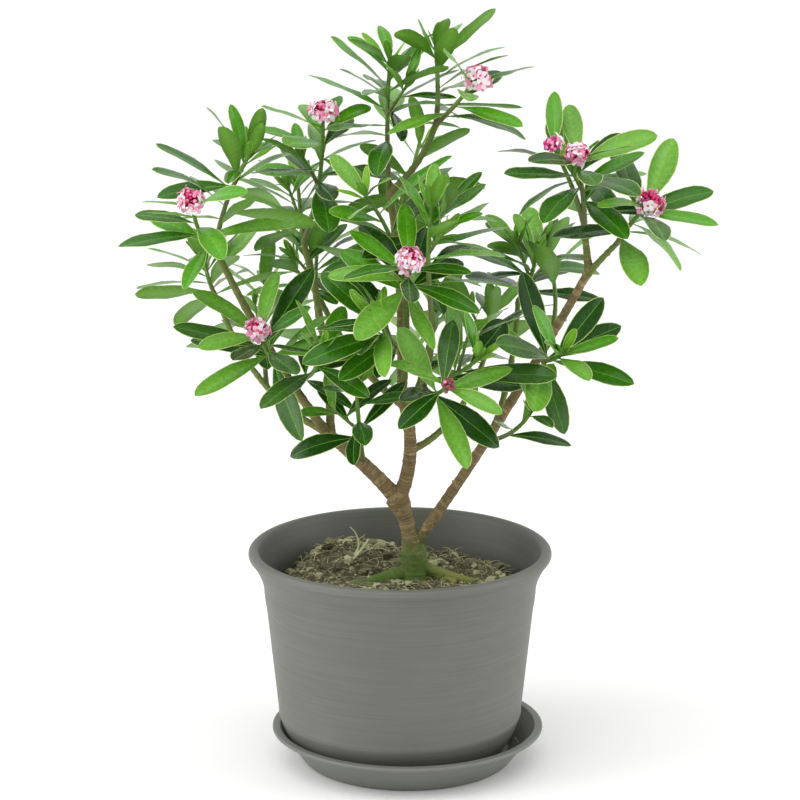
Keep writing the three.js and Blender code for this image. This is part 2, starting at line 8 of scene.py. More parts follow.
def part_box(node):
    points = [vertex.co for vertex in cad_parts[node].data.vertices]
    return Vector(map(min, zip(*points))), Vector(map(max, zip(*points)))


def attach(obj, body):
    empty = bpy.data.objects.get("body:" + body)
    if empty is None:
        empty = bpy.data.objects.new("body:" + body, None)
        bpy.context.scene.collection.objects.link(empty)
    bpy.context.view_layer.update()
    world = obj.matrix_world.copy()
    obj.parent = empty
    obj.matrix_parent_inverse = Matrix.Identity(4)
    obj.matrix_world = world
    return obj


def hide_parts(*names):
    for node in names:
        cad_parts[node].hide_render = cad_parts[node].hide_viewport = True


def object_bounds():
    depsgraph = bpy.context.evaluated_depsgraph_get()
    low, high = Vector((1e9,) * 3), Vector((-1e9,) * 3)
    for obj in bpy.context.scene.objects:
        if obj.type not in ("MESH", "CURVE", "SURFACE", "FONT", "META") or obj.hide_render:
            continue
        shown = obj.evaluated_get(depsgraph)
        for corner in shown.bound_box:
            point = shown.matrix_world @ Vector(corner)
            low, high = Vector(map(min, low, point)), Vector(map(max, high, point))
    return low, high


# A potted winter daphne: pot, saucer, soil, bark, shoots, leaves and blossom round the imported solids.
# Growth is worked out in millimetres, as in the solids, and meshes are made in metres.
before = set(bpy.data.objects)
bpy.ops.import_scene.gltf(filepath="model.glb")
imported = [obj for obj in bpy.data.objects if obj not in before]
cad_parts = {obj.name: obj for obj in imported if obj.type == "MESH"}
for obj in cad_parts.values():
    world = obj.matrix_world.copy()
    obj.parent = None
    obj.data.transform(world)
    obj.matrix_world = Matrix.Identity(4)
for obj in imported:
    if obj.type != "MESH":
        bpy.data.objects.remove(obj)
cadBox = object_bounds()
mm = 0.001
upwards = np.array([0.0, 0.0, 1.0])
sideways = np.array([1.0, 0.0, 0.0])
goldenAngle = 137.5
print("frame loaded:", len(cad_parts), "nodes")


# Small helpers for operators, meshes and nodes

def deselectAll():
    bpy.ops.object.select_all(action="DESELECT")


def choose(piece):
    deselectAll()
    piece.select_set(True)
    bpy.context.view_layer.objects.active = piece


def added(name, add, **settings):
    deselectAll()
    add(**settings)
    piece = bpy.context.object
    piece.name = name
    return piece


def applyModifier(piece, kind, **settings):
    choose(piece)
    modifier = piece.modifiers.new(kind.lower(), kind)
    for key, value in settings.items():
        setattr(modifier, key, value)
    bpy.ops.object.modifier_apply(modifier=modifier.name)


def dress(piece, slot, replaced, *finishes):
    for finish in finishes:
        piece.data.materials.append(finish)
    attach(piece, "root")
    if replaced:
        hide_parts(*replaced)


def newHeap():
    return {"points": [], "faces": [], "finish": [], "uv": [], "count": 0}


def addShape(heap, points, faces, finish, uv=None):
    start = heap["count"]
    heap["points"].append(points)
    heap["faces"] += [tuple(start + corner for corner in face) for face in faces]
    heap["finish"] += finish
    heap["uv"].append(np.zeros((len(points), 2)) if uv is None else uv)
    heap["count"] += len(points)


# All the small shapes of one kind become one mesh
def joinedPiece(name, heap, smoothAngle=50):
    mesh = bpy.data.meshes.new(name)
    mesh.from_pydata(np.concatenate(heap["points"]) * mm, [], heap["faces"])
    mesh.polygons.foreach_set("material_index", heap["finish"])
    corners = np.empty(len(mesh.loops), int)
    mesh.loops.foreach_get("vertex_index", corners)
    uvLayer = mesh.uv_layers.new(name="bladeMap")
    uvLayer.data.foreach_set("uv", np.concatenate(heap["uv"])[corners].ravel())
    mesh.validate()
    piece = bpy.data.objects.new(name, mesh)
    bpy.context.scene.collection.objects.link(piece)
    choose(piece)
    bpy.ops.object.shade_smooth_by_angle(angle=math.radians(smoothAngle))
    return piece


def tint(red, green, blue):
    shares = [channel / 255 for channel in (red, green, blue)]
    linear = [s / 12.92 if s <= 0.04045 else ((s + 0.055) / 1.055) ** 2.4 for s in shares]
    return (*linear, 1.0)


def addNode(tree, kind, inputs=None, **settings):
    made = tree.nodes.new(kind)
    for key, value in settings.items():
        setattr(made, key, value)
    for key, value in (inputs or {}).items():
        if isinstance(value, bpy.types.NodeSocket):
            tree.links.new(value, made.inputs[key])
        else:
            made.inputs[key].default_value = value
    return made


def calc(tree, operation, *values):
    return addNode(tree, "ShaderNodeMath", dict(enumerate(values)), operation=operation).outputs[0]


def ranged(tree, value, low, high, least=0.0, most=1.0):
    limits = {"From Min": low, "From Max": high, "To Min": least, "To Max": most}
    return addNode(tree, "ShaderNodeMapRange", {"Value": value, **limits}).outputs["Result"]


def blendColour(tree, share, first, second):
    mixed = addNode(tree, "ShaderNodeMix", {"Factor": share, "A": first, "B": second}, data_type="RGBA")
    return mixed.outputs["Result"]


def newFinish(name, base, roughness, **extra):
    finish = bpy.data.materials.new(name)
    finish.use_nodes = True
    shader = finish.node_tree.nodes["Principled BSDF"]
    shader.inputs["Base Color"].default_value = base
    shader.inputs["Roughness"].default_value = roughness
    for key, value in extra.items():
        shader.inputs[key].default_value = value
    return finish, finish.node_tree, shader


def newGroup(name, inputs, outputs):
    group = bpy.data.node_groups.new(name, "ShaderNodeTree")
    for label, value in inputs.items():
        group.interface.new_socket(label, in_out="INPUT", socket_type="NodeSocketFloat").default_value = value
    for label in outputs:
        group.interface.new_socket(label, in_out="OUTPUT", socket_type="NodeSocketFloat")
    return group, group.nodes.new("NodeGroupInput"), group.nodes.new("NodeGroupOutput")


def useGroup(tree, group, **values):
    return addNode(tree, "ShaderNodeGroup", values, node_tree=group)


def bumpInto(tree, shader, height, strength, distance):
    bump = addNode(tree, "ShaderNodeBump", {"Strength": strength, "Distance": distance, "Height": height})
    tree.links.new(bump.outputs["Normal"], shader.inputs["Normal"])


# Grain: fine and broad unevenness that most of the finishes share, in object coordinates
def makeGrainGroup():
    usual = {"Fine": 400.0, "Broad": 30.0, "Flatten": 1.0}
    group, given, result = newGroup("grain", usual, ["Fine", "Broad"])
    place = addNode(group, "ShaderNodeTexCoord").outputs["Object"]
    stretch = addNode(group, "ShaderNodeCombineXYZ", {"X": 1.0, "Y": 1.0, "Z": given.outputs["Flatten"]})
    laid = addNode(group, "ShaderNodeVectorMath", {0: place, 1: stretch.outputs[0]}, operation="MULTIPLY")
    for label in ("Fine", "Broad"):
        settings = {"Vector": laid.outputs[0], "Scale": given.outputs[label], "Detail": 4.0}
        speck = addNode(group, "ShaderNodeTexNoise", settings)
        group.links.new(speck.outputs["Fac"], result.inputs[label])
    return group


# Side veins that leave the rib of a leaf at a slant, from the leaf's own map
def makeVeinGroup():
    group, given, result = newGroup("leafVeins", {"Count": 11.0, "Slant": 2.4}, ["Vein", "Streak", "Middle"])
    mapped = addNode(group, "ShaderNodeUVMap", uv_map="bladeMap").outputs["UV"]
    split = addNode(group, "ShaderNodeSeparateXYZ", {"Vector": mapped})
    side = calc(group, "ABSOLUTE", calc(group, "SUBTRACT", split.outputs["X"], 0.5))
    slanted = calc(group, "MULTIPLY", side, given.outputs["Slant"])
    counted = calc(group, "MULTIPLY", split.outputs["Y"], given.outputs["Count"])
    wave = calc(group, "PINGPONG", calc(group, "SUBTRACT", counted, slanted), 0.5)
    group.links.new(ranged(group, wave, 0.0, 0.14, 1.0, 0.0), result.inputs["Vein"])
    # Middle is highest along the rib, where the leaf finishes paint their sheen
    group.links.new(ranged(group, side, 0.05, 0.5, 1.0, 0.0), result.inputs["Middle"])
    place = addNode(group, "ShaderNodeTexCoord").outputs["Object"]
    streak = addNode(group, "ShaderNodeTexNoise", {"Vector": place, "Scale": 260.0, "Detail": 3.0})
    group.links.new(streak.outputs["Fac"], result.inputs["Streak"])
    return group


grain = makeGrainGroup()
leafVeins = makeVeinGroup()


# Camera, floor and light

camera = {"distance": 3.0, "tilt": 13.9, "aimHeight": 0.344, "lens": 147.4}
studio = {
    "floorSize": 60.0,
    "floor": tint(246, 246, 245),
    "sky": (0.36, 0.98),  # strength in front of the plant and behind it
    "sun": {"strength": 1.5, "angle": 80, "tilt": (34, 0, -28)},
    "lamps": [  # name, place, width, height, watts
        ("leftBox", (-2.2, -0.7, 1.2), 1.2, 2.2, 25.0),
        ("rightBox", (2.3, -0.4, 1.1), 1.2, 2.2, 23.0),
    ],
    "aim": (0.0, 0.0, 0.35),
}


def setStudio():
    tilt, distance = math.radians(camera["tilt"]), camera["distance"]
    place = (0, -distance * math.cos(tilt), camera["aimHeight"] + distance * math.sin(tilt))
    viewer = added("Camera", bpy.ops.object.camera_add, location=place, rotation=(math.pi / 2 - tilt, 0, 0))
    viewer.data.lens = camera["lens"]
    bpy.context.scene.camera = viewer
    bpy.context.scene.view_settings.view_transform = "Standard"

    floor = added("paleFloor", bpy.ops.mesh.primitive_plane_add, size=studio["floorSize"])
    finish, tree, shader = newFinish("floorPaint", studio["floor"], 0.7)
    floor.data.materials.append(finish)

    for name, place, width, height, watts in studio["lamps"]:
        lamp = added(name, bpy.ops.object.light_add, type="AREA", location=place)
        lamp.data.shape = "RECTANGLE"
        lamp.data.size = width
        lamp.data.size_y = height
        lamp.data.energy = watts
        lamp.rotation_euler = (Vector(studio["aim"]) - Vector(place)).to_track_quat("-Z", "Y").to_euler()

    sunTilt = [math.radians(turn) for turn in studio["sun"]["tilt"]]
    sun = added("softSun", bpy.ops.object.light_add, type="SUN", rotation=sunTilt)
    sun.data.energy = studio["sun"]["strength"]
    sun.data.angle = math.radians(studio["sun"]["angle"])

    # The sky is brighter behind the plant than in front of it
    world = bpy.data.worlds.new("softSky")
    world.use_nodes = True
    tree = world.node_tree
    sight = addNode(tree, "ShaderNodeTexCoord").outputs["Generated"]
    away = addNode(tree, "ShaderNodeSeparateXYZ", {0: sight}).outputs["Y"]
    glow = ranged(tree, away, -1.0, 0.6, *studio["sky"])
    tree.links.new(glow, tree.nodes["Background"].inputs["Strength"])
    tree.nodes["Background"].inputs["Color"].default_value = (1.0, 1.0, 1.0, 1.0)
    bpy.context.scene.world = world


setStudio()
print("studio set")


# Pot and saucer: a round blank, extruded ring by ring along its outline

def turnOnWheel(name, outline, sides, centre=0.0):
    (radius, height), *rest = outline
    blank = {"vertices": sides, "radius": radius * mm, "fill_type": "NGON"}
    piece = added(name, bpy.ops.mesh.primitive_circle_add, **blank)
    bpy.ops.object.mode_set(mode="EDIT")
    bpy.ops.mesh.select_all(action="SELECT")
    bpy.ops.transform.translate(value=(0, 0, height * mm))
    for nextRadius, nextHeight in rest:
        bpy.ops.mesh.extrude_region_move(TRANSFORM_OT_translate={"value": (0, 0, (nextHeight - height) * mm)})
        grown = nextRadius / radius
        bpy.ops.transform.resize(value=(grown, grown, 1), center_override=(0, 0, 0))
        radius, height = nextRadius, nextHeight
    bpy.ops.mesh.select_all(action="SELECT")
    bpy.ops.transform.translate(value=(centre * mm, 0, 0))
    bpy.ops.mesh.normals_make_consistent(inside=False)
    bpy.ops.object.mode_set(mode="OBJECT")
    choose(piece)
    bpy.ops.object.shade_smooth_by_angle(angle=math.radians(40))
    return piece


def straight(start, end, steps):
    return [tuple(np.array(start) + (np.array(end) - start) * i / steps) for i in range(1, steps + 1)]


def bent(start, pull, end, steps):
    shares = [i / steps for i in range(1, steps + 1)]
    first, middle, last = (np.array(corner, float) for corner in (start, pull, end))
    return [tuple((1 - s) ** 2 * first + 2 * s * (1 - s) * middle + s * s * last) for s in shares]


def rounded(centre, radius, first, last, steps):
    angles = [math.radians(first + (last - first) * i / steps) for i in range(steps + 1)]
    return [(centre[0] + radius * math.cos(a), centre[1] + radius * math.sin(a)) for a in angles]


plasticLook = {"pot": tint(94, 95, 88), "saucer": tint(106, 108, 101), "pale": tint(132, 134, 128)}


# Moulded plastic with fine rings round it, a few pale scuffs and a dull shine
def plasticFinish(name, base):
    finish, tree, shader = newFinish(name, base, 0.5)
    rings = useGroup(tree, grain, Fine=9.0, Broad=20.0, Flatten=80.0)
    speck = useGroup(tree, grain, Fine=900.0, Broad=9.0)
    streak = ranged(tree, rings.outputs["Fine"], 0.35, 0.8, 0.0, 0.2)
    worn = ranged(tree, speck.outputs["Broad"], 0.5, 0.9, 0.0, 0.25)
    paled = calc(tree, "ADD", streak, worn)
    tree.links.new(blendColour(tree, paled, base, plasticLook["pale"]), shader.inputs["Base Color"])
    sheen = ranged(tree, speck.outputs["Fine"], 0.0, 1.0, 0.42, 0.62)
    tree.links.new(sheen, shader.inputs["Roughness"])
    relief = calc(tree, "ADD", rings.outputs["Broad"], calc(tree, "MULTIPLY", speck.outputs["Fine"], 0.25))
    bumpInto(tree, shader, relief, 0.2, 0.0006)
    return finish


potForm = {
    "facets": 144,
    "baseRadius": 80,
    "corner": (113.5, 46),
    "belly": (103, 8),
    "neck": (126, 163),
    "lip": 5,
    "lipArc": (-60, 150),  # degrees
    "sweep": {"outside": (0, 14), "inside": (1, 17)},  # how far the wall is drawn out and up above the neck
    "wall": 3,
    "wallSteps": 90,
    "band": {"height": 150, "step": 0.5, "soft": 1.2},  # a faint step under the neck
    "ripple": {"depth": 0.08, "fast": 2.3, "slow": 0.37},  # the rings that the mould left
}


def makePot():
    low, high = (np.array(corner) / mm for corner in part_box("pot"))
    rim, foot, top = high[0], low[2], high[2]
    base, lip, wall = potForm["baseRadius"], potForm["lip"], potForm["wall"]
    corner, neck = np.array(potForm["corner"]), np.array(potForm["neck"])
    bead = (rim - lip, top - lip)
    band, ripple = potForm["band"], potForm["ripple"]
    sweep = potForm["sweep"]
    under = rounded(bead, lip, *potForm["lipArc"], 14)
    outside = [(base, foot)] + bent((base, foot), potForm["belly"], corner, 14)
    for i, (radius, height) in enumerate(straight(corner, neck, potForm["wallSteps"])):
        step = band["step"] / (1 + math.exp(-(height - band["height"]) / band["soft"]))
        wavy = ripple["depth"] * math.sin(ripple["fast"] * i) * math.sin(ripple["slow"] * i + 1)
        outside.append((radius + wavy + step - band["step"], height))
    outside += bent(outside[-1], neck + sweep["outside"], under[0], 12) + under[1:]
    inner = neck - (wall, 0)
    inside = bent(under[-1], inner + sweep["inside"], inner, 10)
    inside += straight(inner, (corner[0] - wall, corner[1]), 6)
    belly = np.array(potForm["belly"]) + (-wall, wall)
    inside += bent(inside[-1], belly, (base - wall, foot + wall), 8)
    pot = turnOnWheel("potShell", outside + inside, potForm["facets"])
    dress(pot, "pot", ["pot"], plasticFinish("potPlastic", plasticLook["pot"]))


saucerForm = {
    "facets": 144,
    "baseRadius": 96.5,
    "heel": {"round": 3, "out": 2, "up": 2.5},
    "waist": (112.5, 21),
    "flare": (3, 4.5),
    "flange": {"inner": 119, "depth": 3.5},
    "wall": 2.6,
    "floor": 3.5,
    "lip": 1.5,
    "ribs": 3,
    "rib": {"thick": 2.4, "turn": -68, "apart": 60, "sunk": 0.5, "foot": (92, 99)},
    "ribTop": [(106.2, 16), (101.5, 23), (94.5, 11)],  # distance from the middle, height
}


def makeSaucer():
    low, high = (np.array(corner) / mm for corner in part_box("saucer"))
    centre, rim, top = (low[0] + high[0]) / 2, (high[0] - low[0]) / 2, high[2]
    base, wall, lip = saucerForm["baseRadius"], saucerForm["wall"], saucerForm["lip"]
    waist, inner = saucerForm["waist"], saucerForm["flange"]["inner"]
    under = top - saucerForm["flange"]["depth"]
    heel, (flareOut, flareUp) = saucerForm["heel"], saucerForm["flare"]
    foot = (base - heel["round"], 0.0)
    outline = [foot] + bent(foot, (base, 0), (base + heel["out"], heel["up"]), 5)
    outline += straight(outline[-1], waist, 8)
    outline += bent(waist, (waist[0] + flareOut, waist[1] + flareUp), (inner + lip, under), 6)
    outline += straight(outline[-1], (rim - lip, under), 3)
    outline += rounded((rim - lip, under + lip), lip, -90, 0, 5)[1:]
    outline += rounded((rim - lip, top - lip), lip, 0, 90, 5)
    outline += straight(outline[-1], (inner + lip / 2, top), 3)
    outline += bent(outline[-1], (inner, top), (inner - lip / 2, top - lip), 4)
    outline += straight(outline[-1], (waist[0] - wall, waist[1]), 6)
    outline += straight(outline[-1], (base + heel["round"] - wall, saucerForm["floor"]), 8)
    saucer = turnOnWheel("saucerDish", outline, saucerForm["facets"], centre)
    ribs = makeSaucerRibs(centre)
    deselectAll()
    ribs.select_set(True)
    saucer.select_set(True)
    bpy.context.view_layer.objects.active = saucer
    bpy.ops.object.join()
    dress(saucer, "saucer", ["saucer"], plasticFinish("saucerPlastic", plasticLook["saucer"]))


# Low ribs on the open side of the saucer, between its wall and the pot
def makeSaucerRibs(centre):
    rib = saucerForm["rib"]
    heap = newHeap()
    sunk = saucerForm["floor"] - rib["sunk"]
    outline = [(radius, sunk) for radius in rib["foot"]] + saucerForm["ribTop"]
    count = len(outline)
    for k in range(saucerForm["ribs"]):
        angle = math.radians(rib["turn"] + rib["apart"] * k)
        out = np.array([math.cos(angle), math.sin(angle), 0])
        across = np.array([-out[1], out[0], 0]) * rib["thick"] / 2
        middle = np.array([centre, 0, 0])
        face = [middle + radius * out + height * upwards for radius, height in outline]
        points = np.array([point - across for point in face] + [point + across for point in face])
        sides = [(i, (i + 1) % count, count + (i + 1) % count, count + i) for i in range(count)]
        ends = [tuple(reversed(range(count))), tuple(range(count, 2 * count))]
        addShape(heap, points, sides + ends, [0] * (count + 2))
    return joinedPiece("saucerRibs", heap)


makePot()
makeSaucer()
print("pot and saucer turned")


# The growth rule of the solids, in millimetres

gap = 0.3
soilLevel = 170.7
growthSteps = {"trunk": 8, "root": 4, "limb": 5, "shoot": 4}
trunk = {
    "foot": np.array([14.0, 12.0, soilLevel + gap]),
    "heading": (-165, -165),
    "rise": (90, 65),
    "length": 80,
    "radius": (12.4, 7.4),
    "waist": (0.2, 0.62),
    "flare": 2.6,
    "flareLength": 9,
    "knot": {"swell": 3.6, "from": 0.72},
}
surfaceRoots = [  # start above the soil, heading, rise, length, radius
    (6, (-162, -150), (-4, -8), 50, (7.5, 4.5)),
    (15, (-26, -4), (-18, -10), 58, (5, 3.4)),
    (9, (-14, -40), (-12, -8), 44, (4, 2.2)),
]
limbs = [  # name, parent, share of the parent, heading, rise, length, radius
    ("bough_right", "trunk", 0.36, (-10, -15), (56, 62), 315, (5.2, 3.7)),
    ("bough_left", "trunk", 1, (-165, -165), (50, 40), 95, (7.4, 5.6)),
    ("bough_middle", "trunk", 0.97, (-25, 0), (65, 110), 100, (7, 5)),
    ("limb_left_low", "bough_left", 0.98, (155, 130), (20, 60), 170, (3.2, 2.4)),
    ("limb_left_long", "bough_left", 1, (-165, -160), (55, 65), 205, (4.4, 3)),
    ("limb_left_high", "bough_left", 0.94, (95, 140), (75, 70), 180, (4, 2.8)),
    ("limb_leader", "bough_middle", 1, (90, 160), (90, 80), 195, (4.6, 3.4)),
    ("limb_front", "bough_middle", 0.98, (-85, -90), (55, 55), 140, (3.4, 2.6)),
    ("limb_inner_left", "bough_middle", 0.93, (135, 125), (20, 45), 140, (3.6, 2.6)),
    ("limb_inner_right", "bough_middle", 0.5, (50, 65), (5, 40), 135, (3.4, 2.4)),
    ("limb_centre", "bough_middle", 0.75, (-65, -90), (50, 50), 150, (3.8, 2.6)),
    ("limb_right_high", "bough_right", 1, (-150, -150), (80, 85), 40, (3.4, 2.8)),
    ("limb_right_out", "bough_right", 0.98, (-30, -30), (50, 45), 45, (3, 2.5)),
    ("limb_right_inner", "bough_right", 0.45, (65, 85), (45, 50), 135, (3, 2.4)),
    ("limb_top_right", "limb_leader", 0.98, (-20, -40), (40, 70), 85, (3.2, 2.6)),
]
shoots = [  # name, parent, share of the parent, heading, rise, length, what it bears
    ("top", "limb_leader", 1, (130, 40), (85, 85), 115, {"leaves": 18, "twigs": 1}),
    ("top_inner", "limb_top_right", 1, (80, 105), (60, 70), 70, {}),
    ("top_bloom", "limb_top_right", 0.95, (-38, -38), (40, 50), 60,
        {"leaves": 12, "blossom": True, "lean": -10}),
    ("high_left_bloom", "limb_left_high", 1, (-40, -90), (65, 75), 130, {"twigs": 1, "blossom": True}),
    ("high_left", "limb_left_high", 0.94, (100, 100), (35, 60), 75, {"leaves": 11, "twigs": 1}),
    ("left_upper", "limb_left_long", 1, (75, 40), (60, 50), 95, {"twigs": 1}),
    ("left_bloom", "limb_left_long", 0.95, (-140, -100), (40, 65), 70, {"blossom": True}),
    ("left_back", "limb_left_low", 1, (130, 110), (40, 60), 45, {}),
    ("left_low_bloom", "limb_left_long", 0.4, (-105, -105), (20, 50), 70, {"blossom": True}),
    ("low_left", "bough_left", 0.5, (-95, -95), (45, 65), 115, {"leaves": 8, "twigs": 1, "leafSize": 0.8}),
    ("front_bloom", "limb_front", 1, (-90, -85), (28, 55), 60, {"blossom": True}),
    ("front_face", "limb_centre", 1, (-160, -40), (85, 80), 110, {"leaves": 12, "twigs": 1}),
    ("front_buds", "limb_centre", 0.4, (-80, -74), (-4, 30), 95,
        {"leaves": 10, "blossom": True, "headRadius": 9}),
    ("front_left", "limb_front", 0.5, (-105, -110), (15, 45), 100, {"twigs": 1}),
    ("right_inner", "limb_right_inner", 1, (-10, -30), (55, 85), 50, {"twigs": 1}),
    ("right_high_bloom", "limb_right_high", 1, (-120, -95), (88, 40), 80,
        {"leaves": 17, "twigs": 1, "blossom": True, "headRadius": 12}),
    ("right_bloom", "limb_right_out", 1, (-40, -55), (55, 40), 54, {"blossom": True, "leafSize": 1.1}),
    ("right_node", "bough_right", 0.7, (-80, -60), (0, 30), 60, {"leaves": 12}),
    ("right_low", "bough_right", 0.4, (-50, -60), (15, 50), 85, {"leaves": 6, "leafSize": 0.8}),
    ("back_right_inner", "limb_inner_right", 1, (60, 80), (45, 60), 60, {"leaves": 8, "twigs": 1}),
    ("back_left_inner", "limb_inner_left", 1, (150, 100), (60, 75), 55, {"leaves": 9, "twigs": 1}),
    ("centre_left", "limb_leader", 0.6, (-95, -130), (50, 45), 115, {"leaves": 8}),
    ("centre_right", "limb_leader", 0.5, (-65, -40), (55, 50), 115, {"leaves": 9}),
    ("centre_back", "limb_leader", 0.4, (85, 100), (10, 50), 145, {"leaves": 9, "twigs": 1}),
    ("back_low", "bough_middle", 0.88, (80, 80), (0, 40), 175, {"leaves": 10, "twigs": 1}),
    ("back_left", "limb_left_high", 0.5, (100, 85), (10, 45), 160, {"leaves": 9, "twigs": 1}),
    ("back_far_left", "limb_left_low", 0.45, (95, 90), (10, 45), 150, {"leaves": 9, "twigs": 1}),
    ("back_right", "bough_right", 0.72, (65, 110), (20, 50), 140, {"leaves": 8}),
    ("back_high", "limb_leader", 0.75, (85, 70), (20, 50), 130, {"leaves": 9}),
    ("centre_low_right", "limb_centre", 0.45, (-50, -50), (10, 40), 85, {"leaves": 11, "twigs": 1}),
    ("left_inner", "limb_left_long", 0.3, (-60, -85), (10, 45), 110, {"leaves": 9}),
    ("right_high_buds", "limb_right_high", 0.95, (-165, -125), (78, 50), 88,
        {"leaves": 4, "blossom": True, "headRadius": 11}),
]
usualShoot = {"leaves": 14, "twigs": 0, "blossom": False, "headRadius": 15, "leafSize": 1, "lean": 0}
stemRadius = (2.4, 1.6)
stemLeaves = {"span": 70, "share": 0.82, "tipBare": 2, "crowding": 1.15, "upright": 0.42}
twig = {"radius": (1.6, 1.2), "length": (26, 40), "at": (0.4, 0.62), "lean": 0.58, "lift": 0.3}
twigLeaves = {"leaves": 5, "leafSize": 0.86}
leaf = {
    "length": 78,
    "slender": 0.285,
    "belly": 1.357,
    "fullness": 0.85,
    "young": 0.62,
    "youngUnderBlossom": 0.8,
    "grownUp": 2.2,
    "lean": {"atTip": 32, "underBlossom": 50, "atFoot": 82, "spread": 0.8},
    "droop": (2, 42),
    "vary": {"turn": 12, "lean": 10, "length": 0.12, "width": 0.13, "roll": 16},
}
room = {"otherShoot": 6.5, "sameShoot": 4, "limb": 4, "spacing": 4, "lowest": 226, "freeFoot": 0.4}
leafTries = [  # turn, lift, size
    (0, 0, 1),
    (24, 0, 1),
    (-24, 0, 1),
    (0, 18, 0.92),
    (40, 10, 0.86),
    (-40, 10, 0.86),
    (0, -16, 0.8),
    (66, 0, 0.8),
    (-66, 0, 0.8),
    (20, 34, 0.72),
    (-20, -28, 0.72),
]
headPastTip = 0.3
headInView = 1.2
seeds = {"wood": 71, "stems": 83, "leaves": 200, "blossom": 400, "crumbs": 611, "fibres": 733}


def lerp(ends, share):
    return ends[0] + (ends[1] - ends[0]) * share


def towards(start, end, share):
    return start + (end - start) * share


def smoothRise(value, low, high):
    share = np.clip((value - low) / (high - low), 0, 1)
    return share * share * (3 - 2 * share)


def unit(vector):
    return vector / np.linalg.norm(vector)


def turned(vector, axis, degrees):
    angle = math.radians(degrees)
    across, along = np.cross(axis, vector), axis * np.dot(axis, vector)
    return vector * math.cos(angle) + across * math.sin(angle) + along * (1 - math.cos(angle))


def seeded(seed):
    modulus = 2147483647
    state = [1000003 * seed]

    def draw(low, high):
        state[0] = state[0] * 16807 % modulus
        return low + (high - low) * state[0] / modulus

    return draw


def direction(heading, rise):
    compass, up = math.radians(heading), math.radians(rise)
    return np.array([math.cos(up) * math.cos(compass), math.cos(up) * math.sin(compass), math.sin(up)])


def grow(foot, heading, rise, length, steps):
    line = [np.array(foot, float)]
    for i in range(steps):
        share = (i + 0.5) / steps
        line.append(line[i] + direction(lerp(heading, share), lerp(rise, share)) * length / steps)
    return np.array(line)


def stepAt(line, share):
    place = min(max(share, 0), 1) * (len(line) - 1)
    before = min(int(place), len(line) - 2)
    return line[before], line[before + 1], place - before


def pointAt(line, share):
    return towards(*stepAt(line, share))


def headingAt(line, share):
    start, end, past = stepAt(line, share)
    return unit(end - start)


def alongLine(line):
    return np.concatenate([[0], np.cumsum(np.linalg.norm(np.diff(line, axis=0), axis=1))])


def trunkRadius(share):
    body = lerp(trunk["radius"], smoothRise(share, *trunk["waist"]))
    flare = trunk["flare"] * math.exp(-share * trunk["length"] / trunk["flareLength"])
    return body + flare + trunk["knot"]["swell"] * smoothRise(share, trunk["knot"]["from"], 1)


# Widest past the middle of the leaf
def leafHalfWidth(share):
    return np.sin(np.pi * np.minimum(share, 1) ** leaf["belly"]) ** leaf["fullness"]


def leafLine(plan, shares):
    steps = 8
    bends = math.radians(plan["droop"]) * np.outer(shares, (np.arange(steps) + 0.5) / steps)
    along = plan["length"] * shares * np.cos(bends).mean(axis=1)
    down = plan["length"] * shares * np.sin(bends).mean(axis=1)
    return plan["foot"] + np.outer(along, plan["out"]) - np.outer(down, plan["face"])


sampleShares = np.arange(1, 17) / 16
sampleAcross = np.array([-1, -0.67, -0.33, 0, 0.33, 0.67, 1])
sampleFoot = np.repeat(sampleShares, len(sampleAcross))


def leafSamples(plan):
    reach = 0.5 * plan["width"] * leafHalfWidth(sampleShares)
    across = np.outer(reach, sampleAcross)[:, :, None] * plan["side"]
    return (leafLine(plan, sampleShares)[:, None, :] + across).reshape(-1, 3)


obstacles = []
grownLeaves = []


def addObstacle(line, radius, owner=None):
    count = math.ceil(np.linalg.norm(line[-1] - line[0]) / room["spacing"]) + 1
    points = np.array([pointAt(line, i / count) for i in range(count + 1)])
    reach = radius + room["limb"]
    low, high = points.min(axis=0) - reach, points.max(axis=0) + reach
    obstacles.append({"points": points, "reach": reach, "owner": owner, "low": low, "high": high})


def closer(points, others, reach, paired=None):
    apart = np.linalg.norm(points[:, None, :] - others[None, :, :], axis=2) < reach
    return bool((apart if paired is None else apart & paired).any())


def hasRoom(points, owner):
    if points[:, 2].min() < room["lowest"]:
        return False
    low, high = points.min(axis=0), points.max(axis=0)
    grownFree = sampleFoot >= room["freeFoot"]
    for limb in obstacles:
        if (low < limb["high"]).all() and (high > limb["low"]).all():
            tested = points[grownFree] if limb["owner"] == owner else points
            if closer(tested, limb["points"], limb["reach"]):
                return False
    for other in grownLeaves:
        if (low < other["high"]).all() and (high > other["low"]).all():
            same = other["owner"] == owner
            paired = np.outer(grownFree, grownFree) if same else None
            if closer(points, other["points"], room["sameShoot" if same else "otherShoot"], paired):
                return False
    return True


